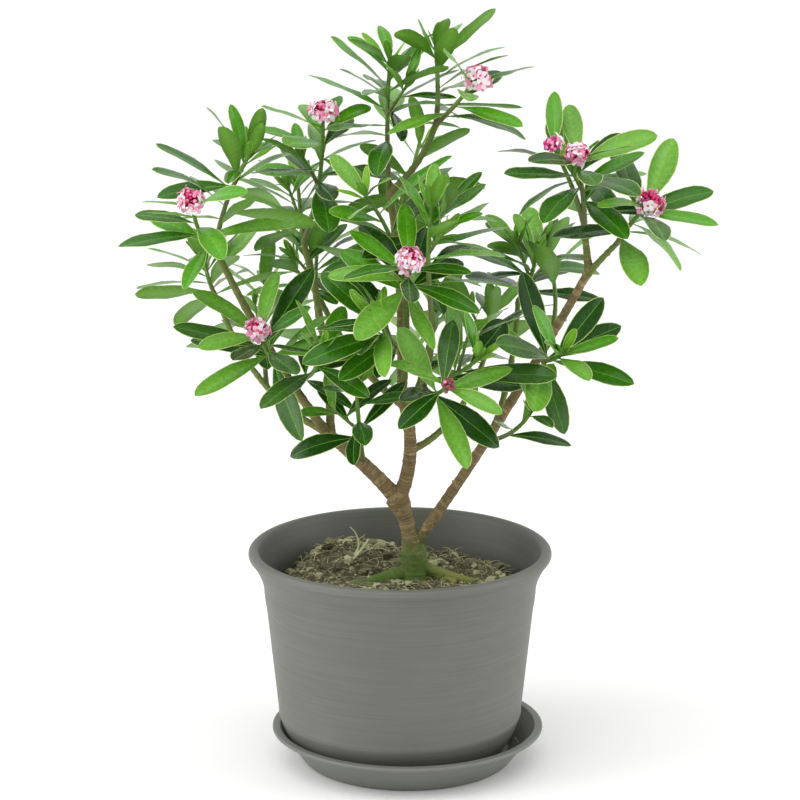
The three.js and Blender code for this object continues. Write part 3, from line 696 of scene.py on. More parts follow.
def leafPlan(axis, index, spin, draw):
    vary, lean = leaf["vary"], leaf["lean"]
    line, length = axis["line"], axis["length"]
    share = index / (axis["leaves"] - 1)
    span = min(stemLeaves["span"], stemLeaves["share"] * length)
    place = 1 - (stemLeaves["tipBare"] + span * share ** stemLeaves["crowding"]) / length
    upright = unit(towards(headingAt(line, place), upwards, stemLeaves["upright"]))
    turn = spin + index * goldenAngle + draw(-vary["turn"], vary["turn"])
    atTip = lean["underBlossom"] if axis["blossom"] else lean["atTip"]
    usualLean = lerp((atTip, lean["atFoot"]), share ** lean["spread"])
    leaning = math.radians(usualLean + axis["lean"] + draw(-vary["lean"], vary["lean"]))
    outwards = turned(unit(np.cross(sideways, upright)), upright, turn)
    out = outwards * math.sin(leaning) + upright * math.cos(leaning)
    youngest = leaf["youngUnderBlossom"] if axis["blossom"] else leaf["young"]
    young = lerp((youngest, 1), min(1, leaf["grownUp"] * share))
    size = leaf["length"] * axis["leafSize"] * young * draw(1 - vary["length"], 1 + vary["length"])
    roll = draw(-vary["roll"], vary["roll"])
    face = turned(unit(upright - out * np.dot(upright, out)), out, roll)
    width = size * leaf["slender"] * draw(1 - vary["width"], 1 + vary["width"])
    plan = {"foot": pointAt(line, place), "out": out, "face": face, "side": np.cross(out, face)}
    plan.update(length=size, width=width, droop=draw(*leaf["droop"]), age=share)
    return plan


def withRoom(plan, owner):
    for turn, lift, size in leafTries:
        trial = dict(plan, length=plan["length"] * size, width=plan["width"] * size)
        for name in ("out", "face", "side"):
            trial[name] = turned(turned(plan[name], plan["side"], lift), upwards, turn)
        points = leafSamples(trial)
        if hasRoom(points, owner):
            reach = room["otherShoot"]
            low, high = points.min(axis=0) - reach, points.max(axis=0) + reach
            grownLeaves.append({"points": points, "owner": owner, "low": low, "high": high, "plan": trial})
            return


def growTwig(line, draw):
    at = draw(*twig["at"])
    along = headingAt(line, at)
    across = turned(unit(np.cross(sideways, along)), along, draw(0, 360))
    out = unit(towards(towards(along, across, twig["lean"]), upwards, twig["lift"]))
    foot = pointAt(line, at)
    return np.array([foot, foot + out * draw(*twig["length"])])


trunkGrowth = [trunk[key] for key in ("foot", "heading", "rise", "length")]
woodLines = {"trunk": grow(*trunkGrowth, growthSteps["trunk"])}
woodRadii = {"trunk": trunkRadius}
addObstacle(woodLines["trunk"], trunk["radius"][0])
rootLines = [
    grow(trunk["foot"] + above * upwards, heading, rise, length, growthSteps["root"])
    for above, heading, rise, length, radius in surfaceRoots
]
for name, parent, at, heading, rise, length, radius in limbs:
    woodLines[name] = grow(pointAt(woodLines[parent], at), heading, rise, length, growthSteps["limb"])
    woodRadii[name] = radius
    addObstacle(woodLines[name], radius[0])

masses = []
for owner, (name, parent, at, heading, rise, length, bears) in enumerate(shoots):
    bears = {**usualShoot, **bears}
    draw = seeded(owner + 1)
    line = grow(pointAt(woodLines[parent], at), heading, rise, length, growthSteps["shoot"])
    addObstacle(line, stemRadius[0], owner)
    axes = [{"line": line, "length": length, "radius": stemRadius, **bears}]
    for i in range(bears["twigs"]):
        side = growTwig(line, draw)
        addObstacle(side, twig["radius"][0], owner)
        reach = np.linalg.norm(side[1] - side[0])
        axes.append({"line": side, "length": reach, "radius": twig["radius"], "lean": 0, "blossom": False})
        axes[-1].update(leaves=twigLeaves["leaves"], leafSize=twigLeaves["leafSize"] * bears["leafSize"])
    head = {"aim": headingAt(line, 1), "radius": bears["headRadius"]}
    head["centre"] = line[-1] + head["aim"] * headPastTip * head["radius"]
    if bears["blossom"]:
        inFront = head["centre"] + head["aim"] * headInView * head["radius"]
        addObstacle(np.array([head["centre"], inFront]), head["radius"], owner)
    masses.append({"name": name, "owner": owner, "draw": draw, "axes": axes, "head": head})

for mass in masses:
    for axis in mass["axes"]:
        spin = mass["draw"](0, 360)
        for index in range(axis["leaves"]):
            withRoom(leafPlan(axis, index, spin, mass["draw"]), mass["owner"])
print("grown:", len(grownLeaves), "leaves on", len(masses), "shoots")


# Wood: each limb is a path with a thickness, and all the paths are fused into one skin

def smoothLine(line, perStep):
    padded = np.concatenate([[2 * line[0] - line[1]], line, [2 * line[-1] - line[-2]]])
    points = []
    for i in range(1, len(padded) - 2):
        before, start, end, after = padded[i - 1 : i + 3]
        for k in range(perStep):
            s = k / perStep
            slope = (end - before) * s + (2 * before - 5 * start + 4 * end - after) * s * s
            points.append(start + 0.5 * (slope + (3 * start - before - 3 * end + after) * s**3))
    return np.array(points + [line[-1]])


scars = {"first": (2, 8), "spacing": (6.5, 12), "height": (0.25, 0.6), "width": 0.9, "collarLength": 7}


# A ring that swells a stem at one place
def swelling(along, place, width):
    return np.exp(-(((along - place) / width) ** 2))


# Old leaf scars ring each limb, and each limb swells a little into its parent
def scarredRadius(line, radius, draw, collar):
    along = alongLine(line)
    shares = along / along[-1]
    thick = np.array([radius(s) if callable(radius) else lerp(radius, s) for s in shares])
    thick += collar * np.exp(-along / scars["collarLength"])
    place = draw(*scars["first"])
    while place < along[-1]:
        thick += draw(*scars["height"]) * swelling(along, place, scars["width"])
        place += draw(*scars["spacing"])
    return thick


def addPath(name, line, thickness):
    path = added(name, bpy.ops.curve.primitive_nurbs_path_add)
    path.location = (0, 0, 0)
    curve = path.data
    curve.splines.clear()
    spline = curve.splines.new("POLY")
    spline.points.add(len(line) - 1)
    places = np.concatenate([line * mm, np.ones((len(line), 1))], axis=1)
    spline.points.foreach_set("co", places.ravel())
    spline.points.foreach_set("radius", thickness)
    curve.bevel_depth = mm
    curve.bevel_resolution = 5
    curve.use_fill_caps = True
    return path


def fusedSkin(name, paths, voxel):
    deselectAll()
    for path in paths:
        path.select_set(True)
    bpy.context.view_layer.objects.active = paths[0]
    bpy.ops.object.convert(target="MESH")
    bpy.ops.object.join()
    skin = bpy.context.object
    skin.name = name
    skin.data.remesh_voxel_size = voxel * mm
    bpy.ops.object.voxel_remesh()
    applyModifier(skin, "SMOOTH", factor=0.5, iterations=3)
    wrinkles = bpy.data.textures.new(name + "Furrows", "CLOUDS")
    wrinkles.noise_scale = woodForm["furrow"]["scale"] * mm
    wrinkles.noise_depth = 3
    deep = {"strength": woodForm["furrow"]["depth"] * mm, "mid_level": 0.5}
    applyModifier(skin, "DISPLACE", texture=wrinkles, texture_coords="LOCAL", **deep)
    choose(skin)
    bpy.ops.object.shade_smooth()
    return skin


# Distance along the nearest limb and the limb's thickness there, which the bark's colours follow
def markAlong(skin, lines):
    places = np.empty(len(skin.data.vertices) * 3)
    skin.data.vertices.foreach_get("co", places)
    places = places.reshape(-1, 3) / mm
    knots = np.concatenate([line for line, thick in lines])
    along = np.concatenate([alongLine(line) for line, thick in lines])
    thick = np.concatenate([thick for line, thick in lines])
    nearest = np.empty(len(places), int)
    batch = 4000
    for start in range(0, len(places), batch):
        block = places[start : start + batch]
        apart = np.linalg.norm(block[:, None, :] - knots[None, :, :], axis=2) - thick[None, :]
        nearest[start : start + batch] = apart.argmin(axis=1)
    for label, values in (("alongLimb", along), ("limbRadius", thick)):
        attribute = skin.data.attributes.new(label, "FLOAT", "POINT")
        attribute.data.foreach_set("value", values[nearest].astype(np.float32))


barkLook = {
    "dark": tint(84, 69, 46),
    "brown": tint(148, 124, 86),
    "pale": tint(196, 176, 130),
    "moss": tint(52, 82, 24),
    "mossPale": tint(100, 126, 52),
    "mossTop": (0.19, 0.224),  # metres
    "oliveRoot": tint(146, 146, 80),
    "bareFrom": (0.02, 0.045),  # metres to the right
    "youngDark": tint(90, 80, 50),
    "young": tint(138, 122, 78),
    "youngGreen": tint(94, 120, 46),
}


# Rings of old leaf scars, which both kinds of bark share
def makeRingGroup():
    group, given, result = newGroup("barkRings", {"Rings": 0.55}, ["Ring", "Age"])
    along = addNode(group, "ShaderNodeAttribute", attribute_name="alongLimb").outputs["Fac"]
    radius = addNode(group, "ShaderNodeAttribute", attribute_name="limbRadius").outputs["Fac"]
    place = addNode(group, "ShaderNodeTexCoord").outputs["Object"]
    wobble = addNode(group, "ShaderNodeTexNoise", {"Vector": place, "Scale": 180.0})
    shifted = calc(group, "ADD", along, calc(group, "MULTIPLY", wobble.outputs["Fac"], 3.0))
    rings = addNode(group, "ShaderNodeTexNoise", noise_dimensions="1D")
    rings.inputs["Detail"].default_value = 2.0
    group.links.new(given.outputs["Rings"], rings.inputs["Scale"])
    group.links.new(shifted, rings.inputs["W"])
    group.links.new(ranged(group, rings.outputs["Fac"], 0.45, 0.7), result.inputs["Ring"])
    group.links.new(ranged(group, radius, 2.4, 4.6), result.inputs["Age"])
    return group


barkRings = makeRingGroup()


# Moss climbs the foot of the trunk, and the root on the right is worn bare of it
def mossOver(tree, patches, bark):
    place = addNode(tree, "ShaderNodeTexCoord").outputs["Object"]
    split = addNode(tree, "ShaderNodeSeparateXYZ", {0: place})
    ragged = calc(tree, "MULTIPLY", calc(tree, "SUBTRACT", patches.outputs["Broad"], 0.5), 0.07)
    level = calc(tree, "ADD", split.outputs["Z"], ragged)
    cover = ranged(tree, level, *barkLook["mossTop"], 0.95, 0.0)
    fuzz = blendColour(tree, patches.outputs["Fine"], barkLook["moss"], barkLook["mossPale"])
    bare = ranged(tree, split.outputs["X"], *barkLook["bareFrom"], 0.0, 0.6)
    return blendColour(tree, cover, bark, blendColour(tree, bare, fuzz, barkLook["oliveRoot"]))


def barkFinish(name, dark, middle, mossy):
    finish, tree, shader = newFinish(name, middle, 0.85)
    rings = useGroup(tree, barkRings)
    patches = useGroup(tree, grain, Fine=520.0, Broad=95.0)
    mottled = blendColour(tree, patches.outputs["Broad"], dark, middle)
    worn = calc(tree, "MULTIPLY", patches.outputs["Fine"], 0.9)
    light = calc(tree, "MULTIPLY", rings.outputs["Ring"], worn)
    colour = blendColour(tree, light, mottled, barkLook["pale"])
    if mossy:
        colour = mossOver(tree, patches, colour)
    else:
        colour = blendColour(tree, rings.outputs["Age"], barkLook["youngGreen"], colour)
    tree.links.new(colour, shader.inputs["Base Color"])
    relief = calc(tree, "ADD", rings.outputs["Ring"], calc(tree, "MULTIPLY", patches.outputs["Fine"], 0.8))
    bumpInto(tree, shader, relief, 0.5, 0.0007)
    return finish


woodForm = {
    "perStep": 14,
    "sunk": 8,  # how far the trunk goes on under the soil
    "footSpread": 3,
    "rootDip": 1,
    "voxel": 0.75,
    "youngVoxel": 0.7,
    "furrow": {"depth": 0.8, "scale": 3.5},
    "collar": 1.2,
    "rootCollar": 1.5,
    "spurs": 16,
    "spur": {"length": (2.5, 5.5), "radius": (1.5, 0.7), "at": (0.12, 0.95), "splay": 1.6, "sunk": 1},
}


def makeWood():
    draw = seeded(seeds["wood"])
    trunkLine = woodLines["trunk"]
    sunk = trunkLine[0] - headingAt(trunkLine, 0) * woodForm["sunk"]
    old, young = [], []
    oldNames = ["trunk", "bough_right", "bough_left", "bough_middle"]
    for name, line in woodLines.items():
        fine = smoothLine(line, woodForm["perStep"])
        thick = scarredRadius(fine, woodRadii[name], draw, 0 if name == "trunk" else woodForm["collar"])
        if name == "trunk":
            fine = np.concatenate([[sunk], fine])
            thick = np.concatenate([[thick[0] + woodForm["footSpread"]], thick])
        (old if name in oldNames else young).append((fine, thick))
    for root, (*growth, radius) in zip(rootLines, surfaceRoots):
        fine = smoothLine(root, woodForm["perStep"])
        fine[:, 2] -= woodForm["rootDip"] * np.linspace(0, 1, len(fine)) ** 2
        old.append((fine, scarredRadius(fine, radius, draw, woodForm["rootCollar"])))
    spurs, form = [], woodForm["spur"]
    for k in range(woodForm["spurs"]):
        fine, thick = old[1 + k % 3]  # the boughs by turns
        place = int(draw(*form["at"]) * (len(fine) - 2))
        along = unit(fine[place + 1] - fine[place])
        across = turned(unit(np.cross(sideways, along)), along, draw(0, 360))
        out = unit(along + form["splay"] * across)
        start = fine[place] + across * (thick[place] - form["sunk"])
        spurs.append((np.array([start, start + out * draw(*form["length"])]), np.array(form["radius"])))
    youngNames = [name for name in woodLines if name not in oldNames]
    for name, lines, extra, voxel in (
        ("trunkAndBoughs", old, spurs, woodForm["voxel"]),
        ("youngLimbs", young, [], woodForm["youngVoxel"]),
    ):
        paths = [addPath(name + "Path", line, thick) for line, thick in lines + extra]
        skin = fusedSkin(name, paths, voxel)
        markAlong(skin, lines)
        if name == "youngLimbs":
            finish = barkFinish("youngBark", barkLook["youngDark"], barkLook["young"], False)
            dress(skin, "young_bark", youngNames, finish)
        else:
            finish = barkFinish("oldBark", barkLook["dark"], barkLook["brown"], True)
            dress(skin, "bark", oldNames, finish)


makeWood()
print("wood fused")


# Shoots: stems and side twigs with a ring at each leaf

stemForm = {
    "sides": 8,
    "perStep": 10,
    "collar": (0.5, 4),  # height, length
    "node": {"height": 0.28, "width": 1.0, "first": (3, 7), "spacing": (4, 7)},
    "ripens": (0.22, 0.52),  # shares of the stem at which brown turns olive and olive green
}
stemLook = {"brown": tint(100, 92, 58), "olive": tint(98, 114, 50), "green": tint(90, 146, 40)}


def stemFinish(name, base, other):
    finish, tree, shader = newFinish(name, base, 0.55)
    patches = useGroup(tree, grain, Fine=420.0, Broad=60.0)
    tree.links.new(blendColour(tree, patches.outputs["Broad"], base, other), shader.inputs["Base Color"])
    bumpInto(tree, shader, patches.outputs["Fine"], 0.3, 0.0004)
    return finish


def tubeShape(line, thick, sides):
    ahead = np.gradient(line, axis=0)
    ahead /= np.linalg.norm(ahead, axis=1)[:, None]
    side = unit(np.cross(ahead[0], sideways if abs(ahead[0][0]) < 0.9 else upwards))
    rings = []
    for point, along, radius in zip(line, ahead, thick):
        side = unit(side - along * np.dot(side, along))
        over = np.cross(along, side)
        angles = 2 * np.pi * np.arange(sides) / sides
        rings.append(point + radius * (np.outer(np.cos(angles), side) + np.outer(np.sin(angles), over)))
    faces = []
    for i in range(len(line) - 1):
        for k in range(sides):
            a, b = i * sides + k, i * sides + (k + 1) % sides
            faces.append((a, b, b + sides, a + sides))
    last = (len(line) - 1) * sides
    faces.append(tuple(range(sides))[::-1])
    faces.append(tuple(range(last, last + sides)))
    return np.concatenate(rings), faces


def makeStems():
    heap = newHeap()
    draw = seeded(seeds["stems"])
    node, (collar, collarLength) = stemForm["node"], stemForm["collar"]
    for mass in masses:
        for axis in mass["axes"]:
            isTwig = len(axis["line"]) == 2
            fine = smoothLine(axis["line"], stemForm["perStep"] * (2 if isTwig else 1))
            along = np.linspace(0, axis["length"], len(fine))
            thick = lerp(axis["radius"], along / axis["length"]) + collar * np.exp(-along / collarLength)
            place = draw(*node["first"])
            while place < axis["length"]:
                thick += node["height"] * swelling(along, place, node["width"])
                place += draw(*node["spacing"])
            points, faces = tubeShape(fine, thick, stemForm["sides"])
            tones = np.searchsorted(stemForm["ripens"], np.linspace(0, 1, len(fine) - 1))
            addShape(heap, points, faces, [*np.repeat(tones, stemForm["sides"]), 0, 2])
    stems = joinedPiece("shootStems", heap)
    finishes = [stemFinish(tone + "Stem", base, stemLook["olive"]) for tone, base in stemLook.items()]
    dress(stems, "young_bark", ["foliage_" + name for name, *rest in shoots], *finishes)


makeStems()
print("stems made")


# Leaves: blade, pale margin, paler rib and dull underside, dealt out in greens by shoot and age

leafForm = {
    "stations": np.array([0, 0.06, 0.16, 0.29, 0.43, 0.57, 0.7, 0.81, 0.9, 0.96, 1]),
    "across": np.array([0, 0.06, 0.28, 0.47, 0.53, 0.72, 0.94, 1, 0.5]),  # on the map, the keel last
    "petiole": 0.9,  # half width at the foot
    "tip": 0.25,  # half width
    "blunt": (0.58, 2.4, 0.6),  # from where on the tip is rounded, and how
    "margin": 0.68,
    "marginMost": 0.35,  # of the half width
    "rib": (0.42, 0.14),  # half width at the foot and the tip
    "ribMost": 0.3,
    "fold": 0.32,
    "curl": 0.24,
    "wave": 0.08,
    "waves": (1.2, 2.2),  # along a blade
    "twist": 28,
    "keel": (1.1, 0.4),
    "groove": 0.25,
    "slim": 3,  # half width under which keel and groove grow shallow
}
leafLook = {
    "fresh": tint(112, 168, 36),
    "bright": tint(78, 146, 18),
    "spring": tint(102, 157, 50),
    "middle": tint(48, 102, 10),
    "deep": tint(28, 70, 7),
    "dull": tint(60, 100, 38),
    "margin": tint(192, 220, 122),
    "rib": tint(104, 162, 58),
    "under": tint(104, 154, 52),
    # painted shade and painted sheen: a blade's colour is scaled down to the first share away from the rib
    # and up to the second in streaks along it
    "paintedShadeAndSheen": (0.8, 1.5),  # darkest and palest share of a blade's colour
    "gloss": (-0.06, 0.08),  # added to its roughness
}
leafTones = ["fresh", "bright", "spring", "middle", "deep", "dull"]


# Blades that are a little paler along their veins, with painted sheen in paler streaks along the rib and
# painted shade, a darker copy of the colour, away from it
def leafFinish(name, base, roughness=0.26):
    finish, tree, shader = newFinish(name, base, roughness, **{"Specular IOR Level": 0.34})
    veins = useGroup(tree, leafVeins)
    lined = calc(tree, "MULTIPLY", veins.outputs["Vein"], 0.25)
    # painted sheen: paler streaks along the middle of the blade
    mottled = calc(tree, "MULTIPLY", veins.outputs["Middle"], veins.outputs["Streak"])
    paled = calc(tree, "ADD", mottled, lined)
    shaded, lit = ([share * channel for channel in base[:3]] + [1.0] for share in leafLook["paintedShadeAndSheen"])
    tree.links.new(blendColour(tree, paled, shaded, lit), shader.inputs["Base Color"])
    rough = [roughness + added for added in leafLook["gloss"]]
    tree.links.new(ranged(tree, veins.outputs["Streak"], 0.3, 0.7, *rough), shader.inputs["Roughness"])
    relief = calc(tree, "ADD", calc(tree, "MULTIPLY", veins.outputs["Vein"], -0.6), veins.outputs["Streak"])
    bumpInto(tree, shader, relief, 0.16, 0.0006)
    return finish


# One leaf: eight points across its top and one under its rib at every station
def leafShape(plan, draw):
    shares = leafForm["stations"]
    begin, power, root = leafForm["blunt"]
    past = np.clip((shares - begin) / (1 - begin), 0, 1)
    outline = np.where(shares < begin, leafHalfWidth(shares), (1 - past**power) ** root)
    half = np.maximum(0.5 * plan["width"] * outline, leafForm["petiole"] * (1 - shares) ** 2)
    half[-1] = leafForm["tip"]
    rib = np.minimum(lerp(leafForm["rib"], shares), leafForm["ribMost"] * half) / half
    edge = 1 - np.minimum(leafForm["margin"], leafForm["marginMost"] * half) / half
    bend = math.radians(plan["droop"]) * shares
    upper = np.outer(np.cos(bend), plan["face"]) + np.outer(np.sin(bend), plan["out"])
    middle = leafLine(plan, shares)
    twist = math.radians(draw(-leafForm["twist"], leafForm["twist"])) * shares
    side = np.outer(np.cos(twist), plan["side"]) + np.sin(twist)[:, None] * upper
    upper = np.cos(twist)[:, None] * upper - np.outer(np.sin(twist), plan["side"])
    phase, waves = draw(0, 6.3), draw(*leafForm["waves"])
    columns = []
    margin = np.ones_like(half)
    for across in (-margin, -edge, -0.5 * edge, -rib, rib, 0.5 * edge, edge, margin):
        size = np.abs(across)
        wave = leafForm["wave"] * np.sin(2 * np.pi * waves * shares + phase + np.sign(across)) * size**2
        lift = half * (leafForm["fold"] * size - leafForm["curl"] * size**2 + wave)
        lift -= np.where(size <= rib, leafForm["groove"] * np.minimum(1, half / leafForm["slim"]), 0)
        columns.append(middle + (half * across)[:, None] * side + lift[:, None] * upper)
    keel = lerp(leafForm["keel"], shares) * np.minimum(1, 0.3 + half / leafForm["slim"])
    columns.append(middle - keel[:, None] * upper)
    points = np.stack(columns, axis=1).reshape(-1, 3)
    spread = leafForm["across"]
    uv = np.stack([np.tile(spread, len(shares)), np.repeat(shares, len(spread))], axis=1)
    return points, uv


# Finishes: 0 blade, 1 margin, 2 rib, 3 underside
def leafFaces():
    strips = [1, 0, 0, 2, 0, 0, 1, 3, 3]
    width, stations = len(strips), len(leafForm["stations"])
    faces = []
    for i in range(stations - 1):
        here, there = width * i, width * (i + 1)
        for k in range(width):
            after = (k + 1) % width
            faces.append((here + k, here + after, there + after, there + k))
    faces.append(tuple(range(width))[::-1])
    faces.append(tuple(range(width * (stations - 1), width * stations)))
    return faces, strips * (stations - 1) + [2, 1]


# Finer than the solids: the small upright leaves that open at each growing tip
tipLeaves = {
    "count": 5,
    "length": (12, 36),
    "vary": (0.85, 1.15),
    "lean": (8, 36),
    "stray": (-5, 5),
    "slender": 0.3,
    "upright": 0.3,
    "below": (0.5, 1.2),  # how far under the tip the first one stands, and each after it
    "droop": (-20, 14),
}


def tipPlans(axis, draw):
    plans = []
    if axis["blossom"]:
        return plans
    aim = unit(towards(headingAt(axis["line"], 1), upwards, tipLeaves["upright"]))
    first, step = tipLeaves["below"]
    spin = draw(0, 360)
    for k in range(tipLeaves["count"]):
        share = k / (tipLeaves["count"] - 1)
        lean = math.radians(lerp(tipLeaves["lean"], share) + draw(*tipLeaves["stray"]))
        outwards = turned(unit(np.cross(sideways, aim)), aim, spin + goldenAngle * k)
        out = outwards * math.sin(lean) + aim * math.cos(lean)
        face = unit(aim - out * np.dot(aim, out))
        length = lerp(tipLeaves["length"], share) * draw(*tipLeaves["vary"]) * axis["leafSize"]
        plan = {"foot": axis["line"][-1] - aim * (first + step * k), "out": out, "face": face}
        plan.update(side=np.cross(out, face), length=length, width=length * tipLeaves["slender"])
        plans.append(dict(plan, droop=draw(*tipLeaves["droop"])))
    return plans


# Young and high leaves are brighter
toneRule = {
    "youngAge": 0.12,
    "brightYoung": 0.6,  # share of the young leaves, the others being of the spring tone
    "height": 0.7,
    "level": 0.6,
    "age": 0.28,
    "steps": [("bright", 0.62), ("spring", 0.4), ("middle", 0.12)],
    "deep": 0.7,  # share of the others, the rest being dull
}


def pickTone(plan, height, draw):
    luck = draw(0, 1)
    if plan["age"] < toneRule["youngAge"]:
        return "bright" if luck < toneRule["brightYoung"] else "spring"
    lifted = luck + toneRule["height"] * (height - toneRule["level"]) - toneRule["age"] * plan["age"]
    for tone, limit in toneRule["steps"]:
        if lifted > limit:
            return tone
    return "deep" if draw(0, 1) < toneRule["deep"] else "dull"


def makeLeaves():
    faces, finish = leafFaces()
    heaps = {tone: newHeap() for tone in leafTones}
    top, low = cadBox[1][2] / mm, room["lowest"]
    for mass in masses:
        draw = seeded(seeds["leaves"] + mass["owner"])
        plans = [grown["plan"] for grown in grownLeaves if grown["owner"] == mass["owner"]]
        for plan in plans:
            points, uv = leafShape(plan, draw)
            tone = pickTone(plan, (plan["foot"][2] - low) / (top - low), draw)
            addShape(heaps[tone], points, faces, finish, uv)
        for axis in mass["axes"]:
            for plan in tipPlans(axis, draw):
                points, uv = leafShape(plan, draw)
                addShape(heaps["fresh"], points, faces, finish, uv)
    shared = [leafFinish(part, leafLook[part], 0.4) for part in ("margin", "rib", "under")]
    for tone, heap in heaps.items():
        leaves = joinedPiece("leaves" + tone.capitalize(), heap)
        dress(leaves, "foliage", [], leafFinish(tone + "Leaf", leafLook[tone]), *shared)
        print(tone, "leaves:", len(heap["points"]))


makeLeaves()


# Blossom: round-tipped buds in the middle of a head, open florets with four lobes round them

blossomForm = {
    "florets": 38,
    "fewFlorets": 11,  # in a head that is still small
    "smallHead": 10,
    "cap": 98,  # degrees from the top of the head
    "dome": 0.7,  # height of the head as a share of its half width
    "stray": 13,  # degrees
    "neck": 0.2,  # where a floret starts, as a share of the head's radius
    "bud": {"sides": 8, "radius": (1.4, 2.1), "length": (0.46, 0.8), "bodyRings": 4},
    "budOutline": [  # share of the length, share of the radius
        (0, 0.45), (0.3, 0.66), (0.52, 0.84), (0.68, 0.98), (0.8, 1), (0.9, 0.84), (0.97, 0.5), (1, 0.12)
    ],
    "tube": {"sides": 6, "radius": (0.9, 1.3), "length": (0.48, 0.76)},
    "throat": [(0.2, 0.8), (0.5, 0.6), (0.7, 0.2)],  # height above the mouth, radius
    "lobe": {
        "count": 4,
        "length": (4.8, 6.6),
        "half": 2.4,
        "spread": (48, 86),
        "droop": (0, 60),
        "stray": 9,
        "out": 0.5,  # from the middle of the mouth
        "thick": (0.3, 0.7),  # how deep its middle lies above and below
    },
    "lobeOutline": [(0, 0.45), (0.25, 0.92), (0.55, 1), (0.8, 0.62), (1, 0.06)],
}
blossomLook = {
    "white": tint(252, 240, 244),
    "blush": tint(252, 214, 230),
    "pink": tint(244, 154, 190),
    "rose": tint(218, 54, 112),
    "crimson": tint(158, 4, 38),
    "mauve": tint(190, 84, 150),
    "throat": tint(214, 146, 96),
    "dusk": tint(150, 82, 92),
}
blossomFinishes = list(blossomLook)
usualHead = {
    "size": 0.94,  # share of the solid head that its florets fill
    "opened": 0.46,
    "body": ("crimson", "crimson", "rose"),
    # tip: paler colours painted on the rounded bud tips as a painted highlight
    "tip": ("pink", "rose"),
    "lobes": ("white", "white", "blush", "pink"),
}
headsOf = {  # by shoot: how its head differs from the usual
    "left_bloom": {"size": 0.88, "opened": 0.58, "lobes": ("white", "blush", "pink")},
    "right_bloom": {"body": ("crimson", "mauve"), "tip": ("rose", "mauve")},
    "right_high_buds": {"opened": 0.05, "body": ("mauve", "mauve", "rose"), "tip": ("pink", "mauve")},
    "top_bloom": {"opened": 0.6, "lobes": ("blush", "white", "pink")},
    "left_low_bloom": {"size": 0.78, "opened": 0.6},
    "front_bloom": {"size": 0.86, "opened": 0.66},
    "front_buds": {"opened": 0.0, "body": ("dusk",), "tip": ("dusk", "dusk", "pink")},
}


def petalFinish(name, base):
    waxy = {"Subsurface Weight": 0.2, "Subsurface Scale": 0.002, "Specular IOR Level": 0.2}
    finish, tree, shader = newFinish(name, base, 0.5, **waxy)
    soft = useGroup(tree, grain, Fine=1500.0, Broad=300.0)
    bumpInto(tree, shader, soft.outputs["Fine"], 0.2, 0.0003)
    return finish


def finishNumbers(names):
    return [blossomFinishes.index(name) for name in names]


def pick(names, draw):
    return names[int(draw(0, len(names)))]


def budShape(heap, start, aim, length, style, draw):
    form = blossomForm["bud"]
    shares, sizes = np.array(blossomForm["budOutline"]).T
    line = start + np.outer(shares * length, aim)
    points, faces = tubeShape(line, sizes * draw(*form["radius"]), form["sides"])
    # The body has the bud's crimson, and the rounded tip is painted paler as a painted highlight
    body, tip = pick(style["body"], draw), pick(style["tip"], draw)
    ofBody = form["bodyRings"] * form["sides"]
    ofPaintedHighlight = len(faces) - 2 - ofBody
    addShape(heap, points, faces, finishNumbers([body] * ofBody + [tip] * ofPaintedHighlight + [body, tip]))


def lobeShape(foot, out, face, length, droop):
    shares, widths = np.array(blossomForm["lobeOutline"]).T
    above, below = blossomForm["lobe"]["thick"]
    middle = leafLine({"foot": foot, "out": out, "face": face, "length": length, "droop": droop}, shares)
    reach = (blossomForm["lobe"]["half"] * widths)[:, None] * np.cross(out, face)
    columns = [middle - reach, middle - above * face, middle + reach, middle - below * face]
    faces = []
    for a in range(0, 4 * len(shares) - 4, 4):
        for k in range(4):
            after = (k + 1) % 4
            faces.append((a + k, a + after, a + 4 + after, a + 4 + k))
    return np.stack(columns, axis=1).reshape(-1, 3), faces


def floretShape(heap, start, aim, length, style, draw):
    form, tube = blossomForm["lobe"], blossomForm["tube"]
    shares = np.linspace(0, 1, 4)
    line = start + np.outer(shares * length, aim)
    points, faces = tubeShape(line, lerp(tube["radius"], shares), tube["sides"])
    addShape(heap, points, faces, finishNumbers(["rose"] * len(faces)))
    mouth, turn = line[-1], draw(0, 90)
    across = unit(np.cross(aim, upwards if abs(aim[2]) < 0.9 else sideways))
    spread = math.radians(draw(*form["spread"]))
    for k in range(form["count"]):
        outwards = turned(across, aim, turn + 90 * k + draw(-form["stray"], form["stray"]))
        out = outwards * math.sin(spread) + aim * math.cos(spread)
        face = unit(aim - out * np.dot(aim, out))
        foot = mouth + form["out"] * outwards
        points, faces = lobeShape(foot, out, face, draw(*form["length"]), draw(*form["droop"]))
        inside = pick(style["lobes"], draw)
        addShape(heap, points, faces, finishNumbers([inside, inside, "pink", "blush"]) * (len(faces) // 4))
    heights, radii = np.array(blossomForm["throat"]).T
    points, faces = tubeShape(mouth + np.outer(heights, aim), radii, tube["sides"])
    addShape(heap, points, faces, finishNumbers(["throat"] * len(faces)))


def makeHead(heap, head, style, draw):
    aim, centre = head["aim"], head["centre"]
    count = blossomForm["fewFlorets" if head["radius"] < blossomForm["smallHead"] else "florets"]
    across = unit(np.cross(aim, sideways))
    cap, stray = math.cos(math.radians(blossomForm["cap"])), blossomForm["stray"]
    for k in range(count):
        share = (k + 0.5) / count
        polar = math.acos(1 - (1 - cap) * share) + math.radians(draw(-stray, stray))
        ray = turned(across, aim, goldenAngle * k + draw(-stray, stray))
        out = unit(ray * math.sin(polar) + aim * math.cos(polar))
        radius = style["size"] * head["radius"] * lerp((blossomForm["dome"], 1), abs(math.sin(polar)))
        start = centre + out * blossomForm["neck"] * radius
        # The outer florets open first
        opened = draw(0, 1) < 2 * style["opened"] * share
        makeFloret, form = (floretShape, "tube") if opened else (budShape, "bud")
        makeFloret(heap, start, out, radius * draw(*blossomForm[form]["length"]), style, draw)


